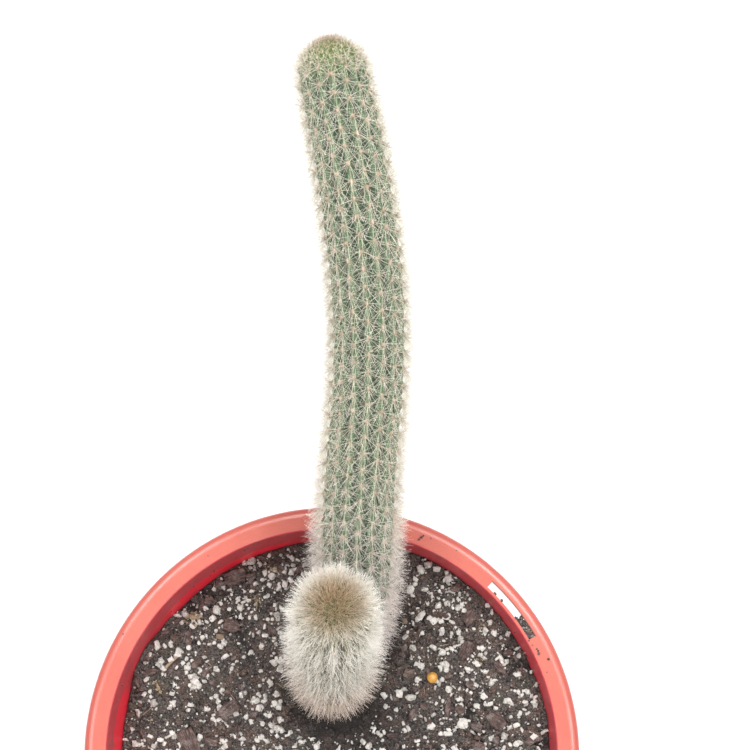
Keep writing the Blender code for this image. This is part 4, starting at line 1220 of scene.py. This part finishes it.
class Stem:
    """A stem's route, radius and ribs, and the places of its areoles, as functions of the distance along it."""

    def __init__(self, points, radii, dome_areoles, shoulder_rows):
        """The route as a smooth curve through its points, with its radii, its dome and its areoles."""
        points = np.array(points) * MM
        chord = np.append(0, np.cumsum(np.linalg.norm(np.diff(points, axis=0), axis=1)))
        slopes = np.gradient(points, chord, axis=0)
        dense = np.linspace(0, chord[-1], ROUTE_POINTS)
        span = np.clip(np.searchsorted(chord, dense, side="right") - 1, 0, len(chord) - 2)
        width = (chord[span + 1] - chord[span])[:, None]
        t = (dense - chord[span])[:, None] / width
        self.curve = ((2 * t ** 3 - 3 * t ** 2 + 1) * points[span] + (t ** 3 - 2 * t ** 2 + t) * width * slopes[span]
                      + (3 * t ** 2 - 2 * t ** 3) * points[span + 1] + (t ** 3 - t ** 2) * width * slopes[span + 1])
        self.distance = np.append(0, np.cumsum(np.linalg.norm(np.diff(self.curve, axis=0), axis=1)))
        self.length = self.distance[-1]
        self.radii = np.array(radii) * MM
        self.dome = DOME_HEIGHT * self.crest(self.length)
        self.dome_start = self.length - self.dome
        self.rows = round((self.dome_start - RIB_START) / ((LOW_PITCH + TOP_PITCH) / 4))
        self.place_areoles(dome_areoles, shoulder_rows)

    def crest(self, s):
        """Radius of the ribs' crests."""
        return np.interp(s, *self.radii.T)

    def dome_share(self, s):
        """Share of the dome's height, from 0 below it to 1 at the apex."""
        return np.clip((s - self.dome_start) / self.dome, 0, 1)

    def radius(self, s):
        """Crest radius closed by a round dome at the apex: crest * sqrt(1 - share * share) of the dome's height."""
        return self.crest(s) * np.sqrt(1 - self.dome_share(s) ** 2)

    def at(self, s):
        """Points of the centreline."""
        return np.stack([np.interp(s, self.distance, self.curve[:, axis]) for axis in range(3)], axis=-1)

    def axes(self, s):
        """Unit vectors along the stem and across it, towards +X and square to both."""
        reach = 0.5 * MM
        ahead = unit(self.at(np.minimum(s + reach, self.length)) - self.at(np.maximum(s - reach, 0.0)))
        side = unit(np.array([1.0, 0, 0]) - ahead[..., :1] * ahead)
        return ahead, side, np.cross(ahead, side)

    def outward(self, s, turn):
        """Unit vectors square to the skin, which lean forwards over the dome, and square to the stem's axis."""
        ahead, side, normal = self.axes(s)
        straight = np.cos(turn)[..., None] * side + np.sin(turn)[..., None] * normal
        share = self.dome_share(s)[..., None]
        return straight * np.sqrt(1 - share * share) + ahead * share, straight

    def from_apex(self, s):
        """Distance over the skin from the apex in millimetres: round the dome, then straight down the crests."""
        return (self.dome * np.arccos(self.dome_share(s)) + np.maximum(self.dome_start - s, 0)) / MM

    def ribbing(self, s):
        """Strength of the ribs, which grow out of the smooth foot and fade over the dome."""
        return np.clip((s - RIB_START) / RIB_GROWTH, 0, 1) * np.clip((self.length - s) / self.dome, 0, 1)

    def row(self, s):
        """Row number at a distance: rows are half a pitch apart, and the pitch shrinks evenly up the stem."""
        share = (s - RIB_START) / (self.dome_start - RIB_START)
        whole = 1 + PITCH_SWELL
        return (whole - np.sqrt(np.maximum(whole ** 2 - 4 * PITCH_SWELL * share, 0))) / (2 * PITCH_SWELL) * self.rows

    def row_distance(self, row):
        """Distance of a row: the other way round."""
        share = row / self.rows
        return RIB_START + (self.dome_start - RIB_START) * (share + PITCH_SWELL * share * (1 - share))

    def skin(self, s, turn):
        """Points of the skin: the radius less the flutes, plus a swelling under each areole.

        A flute's depth is RIB_DEPTH * (1 - w ** 0.8), where w = (1 + cos(16 * turn)) / 2 is 1 on the crests. The
        swelling is TUBERCLE * cos(pi * (row + rib)) * w, so it peaks on every second row of each rib.
        """
        w = (1 + np.cos(RIBS * turn)) / 2
        rib = np.round(turn * RIBS / (2 * np.pi))
        swelling = TUBERCLE * np.cos(np.pi * (self.row(s) + rib)) * w
        offset = (swelling - RIB_DEPTH * (1 - w ** 0.8)) * self.ribbing(s)
        return self.at(s) + (self.radius(s) + offset)[..., None] * self.outward(s, turn)[1]

    def place_areoles(self, dome_areoles, shoulder_rows):
        """Areoles on every second row of each rib, and a golden-angle spiral of them over the dome.

        The shoulder rows are how many rows of the ribs go on over the edge of the dome.
        """
        row, rib = np.meshgrid(np.arange(1, self.rows + 1 + shoulder_rows), np.arange(RIBS), indexing="ij")
        kept = (row + rib) % 2 == 0
        number = np.arange(dome_areoles)
        rise = 0.98 * np.sqrt((number + 0.5) / dome_areoles)
        self.areole_s = np.append(self.row_distance(row[kept]), self.length - self.dome * (1 - np.sqrt(1 - rise ** 2)))
        self.areole_turn = np.append(2 * np.pi * rib[kept] / RIBS, number * GOLDEN_ANGLE)

    def clearance(self, points):
        """How far points stand off the crests: the distance to the nearest point of the route, less its radius."""
        away = np.linalg.norm(points[:, None] - self.curve[::12], axis=-1)
        return np.min(away, axis=1) - self.crest(self.distance[::12][np.argmin(away, axis=1)])


def stem_body(stem):
    """Rings of the skin from the buried foot to the apex, evenly spaced and closer together over the dome."""
    columns = RIBS * RIB_COLUMNS
    turn = round_turns(columns)
    even = np.linspace(0, stem.dome_start, round(stem.dome_start / BODY_STEP))
    s = np.append(even, stem.dome_start + stem.dome * np.sin(np.linspace(0, np.pi / 2, DOME_STEPS)[1:-1]))
    vertices = np.concatenate([stem.skin(s[:, None], turn[None]).reshape(-1, 3), stem.at(np.array([0, stem.length]))])
    apex = stem.from_apex(s)
    return vertices, closed_rings(len(s), columns), {
        "crest": np.append(np.tile((1 + np.cos(RIBS * turn)) / 2, len(s)), [0.5, 0.5]),
        "apex": np.append(np.repeat(apex, columns), [apex[0], 0.0])}


def felt_pads(stem, rng):
    """A low oval cushion on each areole: two rings of corners and a middle one, sunk a little and closed below."""
    s = stem.areole_s
    out, straight = stem.outward(s, stem.areole_turn)
    around = np.cross(stem.axes(s)[0], straight)
    axes = np.stack([np.cross(out, around), around, out], axis=1)
    size = (1 - 0.45 * stem.dome_share(s)) * rng.uniform(0.85, 1.15, len(s))
    oval = polar(0.5, round_turns(FELT_SIDES)) * [FELT_LENGTH, FELT_WIDTH]
    shape = mounds(size[:, None, None] * oval, FELT_HEIGHT * size, FELT_RINGS, 0.12, -0.1 * MM, 1.0, rng)
    middle = stem.skin(s, stem.areole_turn) - 0.12 * MM * out
    vertices = middle[:, None] + np.einsum("nki,nij->nkj", shape, axes)
    faces = repeated(closed_rings(2, FELT_SIDES, clockwise=True), *vertices.shape[:2])
    return vertices.reshape(-1, 3), faces, {"tone": rng.random(len(s))}


def flesh(name, green, flute, young, young_reach):
    """Waxy green skin: paler on the crests, with painted shade darkening the flutes, its own colour near the growing
    tip.
    """
    material, tree = new_material(name)
    place = own_place(tree)
    body = layered(
        # Painted shade: the flutes get the darker colour and the crests the paler green.
        flute,
        (step(attribute(tree, "crest"), 0.05, 0.9), green),
        (step(noise(place, 520.0, 4.0), 0.3, 0.7) * 0.35, shaded(flute, 0.6)),
        (step(attribute(tree, "apex"), young_reach, 0.3 * young_reach), young))
    return finished(material, {"Base Color": body, "Roughness": 0.5,
                               "Normal": bump(noise(place, 3000.0, 2.0), 0.06 * MM)})


def felt():
    """Short peach-coloured wool."""
    material, tree = new_material("areole felt")
    return finished(material, {"Base Color": mix(attribute(tree, "tone"), FELT_PEACH, FELT_CREAM), "Roughness": 0.95,
                               "Normal": bump(noise(own_place(tree), 5200.0, 2.0), 0.1 * MM)})


long_stem = Stem(LONG_ROUTE, LONG_RADII, LONG_DOME_AREOLES, LONG_SHOULDER_ROWS)
short_stem = Stem(SHORT_ROUTE, SHORT_RADII, SHORT_DOME_AREOLES, SHORT_SHOULDER_ROWS)
long_flesh = flesh("long stem flesh", LONG_GREEN, LONG_FLUTE_SHADE, LONG_YOUNG, 16.0)
long_body = make_piece("long_stem_flesh", long_flesh, "long_stem", *stem_body(long_stem))
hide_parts("stem_long")
short_flesh = flesh("short stem flesh", SHORT_GREEN, SHORT_FLUTE_SHADE, SHORT_YOUNG, 20.0)
short_body = make_piece("short_stem_flesh", short_flesh, "short_stem", *stem_body(short_stem))
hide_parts("stem_short")
felt_finish = felt()
felt_rng = np.random.default_rng(31)
make_piece("long_stem_felt", felt_finish, "long_stem", *felt_pads(long_stem, felt_rng))
make_piece("short_stem_felt", felt_finish, "short_stem", *felt_pads(short_stem, felt_rng))


# Bristles
# Fine glassy spines, a tenth or two of a millimetre thick, that stand out of every areole like the spokes of a
# wheel, closest together towards the foot. On the short stem they are crowded and silky: white, brown at the
# apex and pinkish beige at the foot.
NEEDLE_TIP = 0.45
NEEDLE_FACES = np.array([[0, 1, 2], [1, 0, 3], [0, 2, 3], [1, 3, 2]])


def needles(roots, headings, lengths, widths, rng):
    """Thin closed needles of four triangles: a short edge across the root, and a shorter one across the tip.

    The two edges are square to each other, so that a needle looks about as wide from every side. The root's edge
    is one width long and the tip's is NEEDLE_TIP widths.
    """
    across = unit(np.cross(headings, rng.normal(size=headings.shape))) * widths[:, None] / 2
    beside = np.cross(headings, across) * NEEDLE_TIP
    tips = roots + headings * lengths[:, None]
    corners = np.stack([roots + across, roots - across, tips + beside, tips - beside], axis=1)
    return corners.reshape(-1, 3), repeated([NEEDLE_FACES], *corners.shape[:2])


def graded(pairs, distance):
    """A value that changes evenly between given (distance from the apex in millimetres, value) pairs."""
    return np.interp(distance, *np.array(pairs, float).T)


def bristle_burst(stem, other, rng, count, length, rise, ruffle, drift, scatter, width):
    """One kind of bristle on every areole of a stem, as corners, faces and values of one mesh.

    A heading is the skin's outward direction times sin(rise) plus cos(rise) times a direction along the skin. The
    bristles of an areole share the turns round it evenly: c runs from -1 to 1 in equal steps, and the turn from
    the way to the foot is pi * c * |c| ** (drift - 1), which crowds them towards the foot where drift is over 1.
    A bristle is left out where it would reach into the mix, the pot, the other stem or past the solids' box.
    """
    number = np.round(graded(count, stem.from_apex(stem.areole_s))).astype(int)
    s, turn, first, total = np.repeat([stem.areole_s, stem.areole_turn, np.cumsum(number) - number, number], number,
                                      axis=1)
    apex = stem.from_apex(s)
    out, straight = stem.outward(s, turn)
    around = np.cross(stem.axes(s)[0], straight)
    footwards = np.cross(around, out)
    c = 2 * (np.arange(len(s)) - first + rng.uniform(0.1, 0.9, len(s))) / total - 1
    spin = np.pi / 2 + np.pi * c * np.abs(c) ** (graded(drift, apex) - 1)
    lift = np.radians(graded(rise, apex) + rng.normal(0, ruffle, len(s)))
    lift = np.clip(lift, math.radians(5), math.radians(90))[:, None]
    swing = np.cos(spin)[:, None] * around + np.sin(spin)[:, None] * footwards
    heading = np.sin(lift) * out + np.cos(lift) * swing
    lengths = graded(length, apex) * MM * rng.uniform(0.7, 1.1, len(s))
    shift = rng.normal(0, 1, (len(s), 2)) * graded(scatter, apex)[:, None] * MM
    root = stem.skin(s, turn) + shift[:, :1] * around + shift[:, 1:] * footwards - 0.2 * MM * out
    kept = np.ones(len(s), bool)
    for share in (0.6, 1.0):
        point = root + share * heading * lengths[:, None]
        x, y, z = point.T
        kept &= np.all((point > np.array(cad_box[0])) & (point < np.array(cad_box[1])), axis=1)
        kept &= z > mix_height(x, y) + 0.1 * MM
        kept &= (np.hypot(x, y) < wall_inside(z) - 0.3 * MM) | (z > POT_HEIGHT + 0.3 * MM)
        kept &= other.clearance(point) > 0.15 * MM
    widths = width * MM * rng.uniform(0.75, 1.25, np.count_nonzero(kept))
    vertices, faces = needles(root[kept], heading[kept], lengths[kept], widths, rng)
    return vertices, faces, {"along": np.tile([0.0, 0.0, 1.0, 1.0], len(widths)), "tone": rng.random(len(widths)),
                             "apex": apex[kept]}


def bristle_group():
    """Colour of a bristle: between two tones from bristle to bristle, with other colours at its root and its tip."""
    tree, given, outlet = new_group("bristle tint", dict.fromkeys(("First", "Second", "Root", "Tip"), "Color"),
                                    {"Color": "Color", "Tip Share": "Float"})
    along = attribute(tree, "along")
    at_tip = step(along, 0.45, 1.0)
    tint = layered(given["First"], (attribute(tree, "tone"), given["Second"]), (step(along, 0.3, 0.0), given["Root"]),
                   (at_tip, given["Tip"]))
    plug(outlet, {"Color": tint, "Tip Share": at_tip})
    return tree


bristle_tint = bristle_group()


def bristle_finish(name, glow, apex_span, foot_span, main, second, root, tip, young, old):
    """Glassy bristles, with a young colour of their own near the apex and an old one near the foot.

    The spans are distances from the apex in millimetres between which the colour changes. A painted glow, an emission
    of their own colour, stands in for light that they pass on, more of it at their tips: the glow is a share of their
    colour at the root and at the tip.
    """
    material, tree = new_material(name)
    apex = attribute(tree, "apex")
    tone = attribute(tree, "tone")
    given = node("Group", {"First": main, "Second": second, "Root": root, "Tip": tip}, tree=tree,
                 node_tree=bristle_tint)
    tint = layered(
        given,
        (step(apex, *reversed(apex_span)), mix(tone, young, shaded(young, 0.4))),
        (step(apex, *foot_span, 0.8), mix(tone, old, shaded(old, 0.6))))
    # Painted glow: the bristles emit a share of their own colour.
    passed = calc("MULTIPLY_ADD", given.other("Tip Share"), glow[1] - glow[0], glow[0])
    return finished(material, {"Base Color": tint, "Roughness": 0.42, "Emission Strength": 1.0,
                               "Emission Color": mix(passed, BLACK, tint)})


long_bristles = bristle_finish(
    "long stem bristles", (0.05, 0.20), (1.5, 8.5), (110.0, 180.0), (0.78, 0.73, 0.60), (0.54, 0.55, 0.39),
    (0.40, 0.32, 0.22), (0.82, 0.75, 0.68), (0.62, 0.47, 0.33), (0.90, 0.81, 0.77))
long_spines = bristle_finish(
    "long stem spines", (0.02, 0.08), (1.5, 8.5), (110.0, 180.0), (0.64, 0.55, 0.47), (0.36, 0.30, 0.24),
    (0.34, 0.27, 0.19), (0.60, 0.50, 0.44), (0.54, 0.40, 0.27), (0.88, 0.79, 0.74))
short_bristles = bristle_finish(
    "short stem bristles", (0.03, 0.14), (1.5, 12.0), (38.0, 56.0), (0.89, 0.86, 0.79), (0.55, 0.52, 0.43),
    (0.20, 0.18, 0.11), (0.85, 0.82, 0.77), (0.80, 0.60, 0.40), (0.70, 0.55, 0.445))
LONG_SETS = (
    ("bristles", long_bristles, dict(
        count=((0, 10), (3, 7), (6, 6), (9, 9), (14, 19), (150, 20)),
        length=((0, 1.5), (5, 3.0), (12, 4.8), (18, 6.0), (150, 6.4), (190, 7.0)),
        rise=((0, 50), (5, 38), (14, 24), (120, 28), (175, 38)), ruffle=9.0, drift=((14, 1.0), (22, 1.5)),
        scatter=((0, 0.2), (200, 0.25)), width=0.125)),
    ("spines", long_spines, dict(
        count=((0, 12), (3, 7), (7, 7), (9, 12), (14, 18), (20, 16), (110, 15)),
        length=((0, 1.7), (8, 3.2), (14, 4.0), (120, 4.4), (150, 5.0), (190, 6.4)),
        rise=((0, 60), (8, 52), (14, 48), (120, 48), (190, 54)), ruffle=16.0, drift=((0, 1.2),),
        scatter=((0, 0.4),), width=0.095)),
    ("hairs", long_bristles, dict(
        count=((0, 8), (3, 5), (7, 4), (9, 7), (13, 10), (18, 8), (110, 8), (150, 16), (190, 26)),
        length=((0, 1.7), (8, 3.4), (120, 5.0), (150, 6.0), (190, 7.0)),
        rise=((0, 60), (8, 50), (14, 36), (120, 38), (190, 46)), ruffle=16.0, drift=((14, 0.8), (22, 1.0)),
        scatter=((0, 0.4), (200, 0.5)), width=0.07)),
)
SHORT_SETS = (
    ("bristles", short_bristles, dict(
        count=((0, 34), (6, 27), (11, 18), (18, 19), (24, 25), (34, 29), (50, 20), (60, 15), (78, 14)),
        length=((0, 3.8), (8, 4.7), (15, 5.2), (25, 4.3), (32, 4.6), (42, 6.4), (58, 5.8), (65, 3.8), (78, 3.2)),
        rise=((0, 84), (10, 70), (22, 54), (34, 50), (50, 56), (66, 50)), ruffle=14.0, drift=((0, 1.15),),
        scatter=((0, 0.9),), width=0.12)),
    ("spines", short_bristles, dict(
        count=((0, 12), (11, 9)),
        length=((0, 3.8), (10, 4.8), (25, 4.5), (34, 5.0), (44, 6.8), (58, 6.0), (65, 3.8), (78, 3.2)),
        rise=((0, 82), (20, 60), (50, 58), (78, 54)), ruffle=16.0, drift=((0, 1.1),),
        scatter=((0, 0.7), (78, 0.9)), width=0.16)),
    ("down", short_bristles, dict(
        count=((0, 12), (12, 15), (28, 18), (50, 16), (60, 13)),
        length=((0, 4.2), (12, 5.6), (25, 4.7), (44, 7.0), (58, 6.2), (65, 4.0), (78, 3.4)),
        rise=((0, 80), (12, 66), (30, 54), (78, 52)), ruffle=18.0, drift=((0, 1.1),),
        scatter=((0, 0.7), (78, 0.8)), width=0.075)),
)
bristle_rng = np.random.default_rng(77)
for stem_name, own_stem, other_stem, bristle_sets in (("long_stem", long_stem, short_stem, LONG_SETS),
                                                      ("short_stem", short_stem, long_stem, SHORT_SETS)):
    for set_name, set_finish, growth in bristle_sets:
        make_piece("%s_%s" % (stem_name, set_name), set_finish, stem_name,
                   *bristle_burst(own_stem, other_stem, bristle_rng, **growth), smooth=False)


# Studio
# A pale floor and a ring of large soft lights, brighter from behind and from the left.
FLOOR_SIDE = 6.0
FLOOR_TINTS = ((0.90, 0.90, 0.90), (0.93, 0.93, 0.93))
LIGHT_DISTANCE = 1.4
LIGHT_SIDE = 0.40
LIGHT_HEIGHT = math.radians(58)
LIGHT_RING = ((0, 4.2), (45, 6.0), (90, 4.7), (135, 4.5), (180, 3.3), (225, 3.0), (270, 3.2), (315, 3.0))
SKY = 0.42

floor_vertices = np.array([[-1, -1, 0], [1, -1, 0], [1, 1, 0], [-1, 1, 0]]) * FLOOR_SIDE / 2
floor_material, floor_tree = new_material("floor")
floor_tint = mix(noise(own_place(floor_tree), 6.0), *FLOOR_TINTS)
finished(floor_material, {"Base Color": floor_tint, "Roughness": 0.9})
studio_floor = make_piece("floor", floor_material, None, floor_vertices, [np.array([[0, 1, 2, 3]])])

for light_number, (light_turn, light_power) in enumerate(LIGHT_RING, 1):
    light_data = bpy.data.lights.new("softbox_%d" % light_number, "AREA")
    light_data.shape = "SQUARE"
    light_data.size = LIGHT_SIDE
    light_data.energy = light_power
    light = bpy.data.objects.new("softbox_%d" % light_number, light_data)
    light.location = LIGHT_DISTANCE * Vector(polar(math.cos(LIGHT_HEIGHT), math.radians(light_turn),
                                                   math.sin(LIGHT_HEIGHT)))
    light.rotation_euler = (-light.location).to_track_quat("-Z", "Y").to_euler()
    bpy.context.scene.collection.objects.link(light)

world = bpy.data.worlds.new("studio sky")
world.use_nodes = True
plug(world.node_tree.nodes["Background"], {"Color": (1.0, 1.0, 1.0), "Strength": SKY})
bpy.context.scene.world = world
bpy.context.scene.view_settings.view_transform = "Standard"
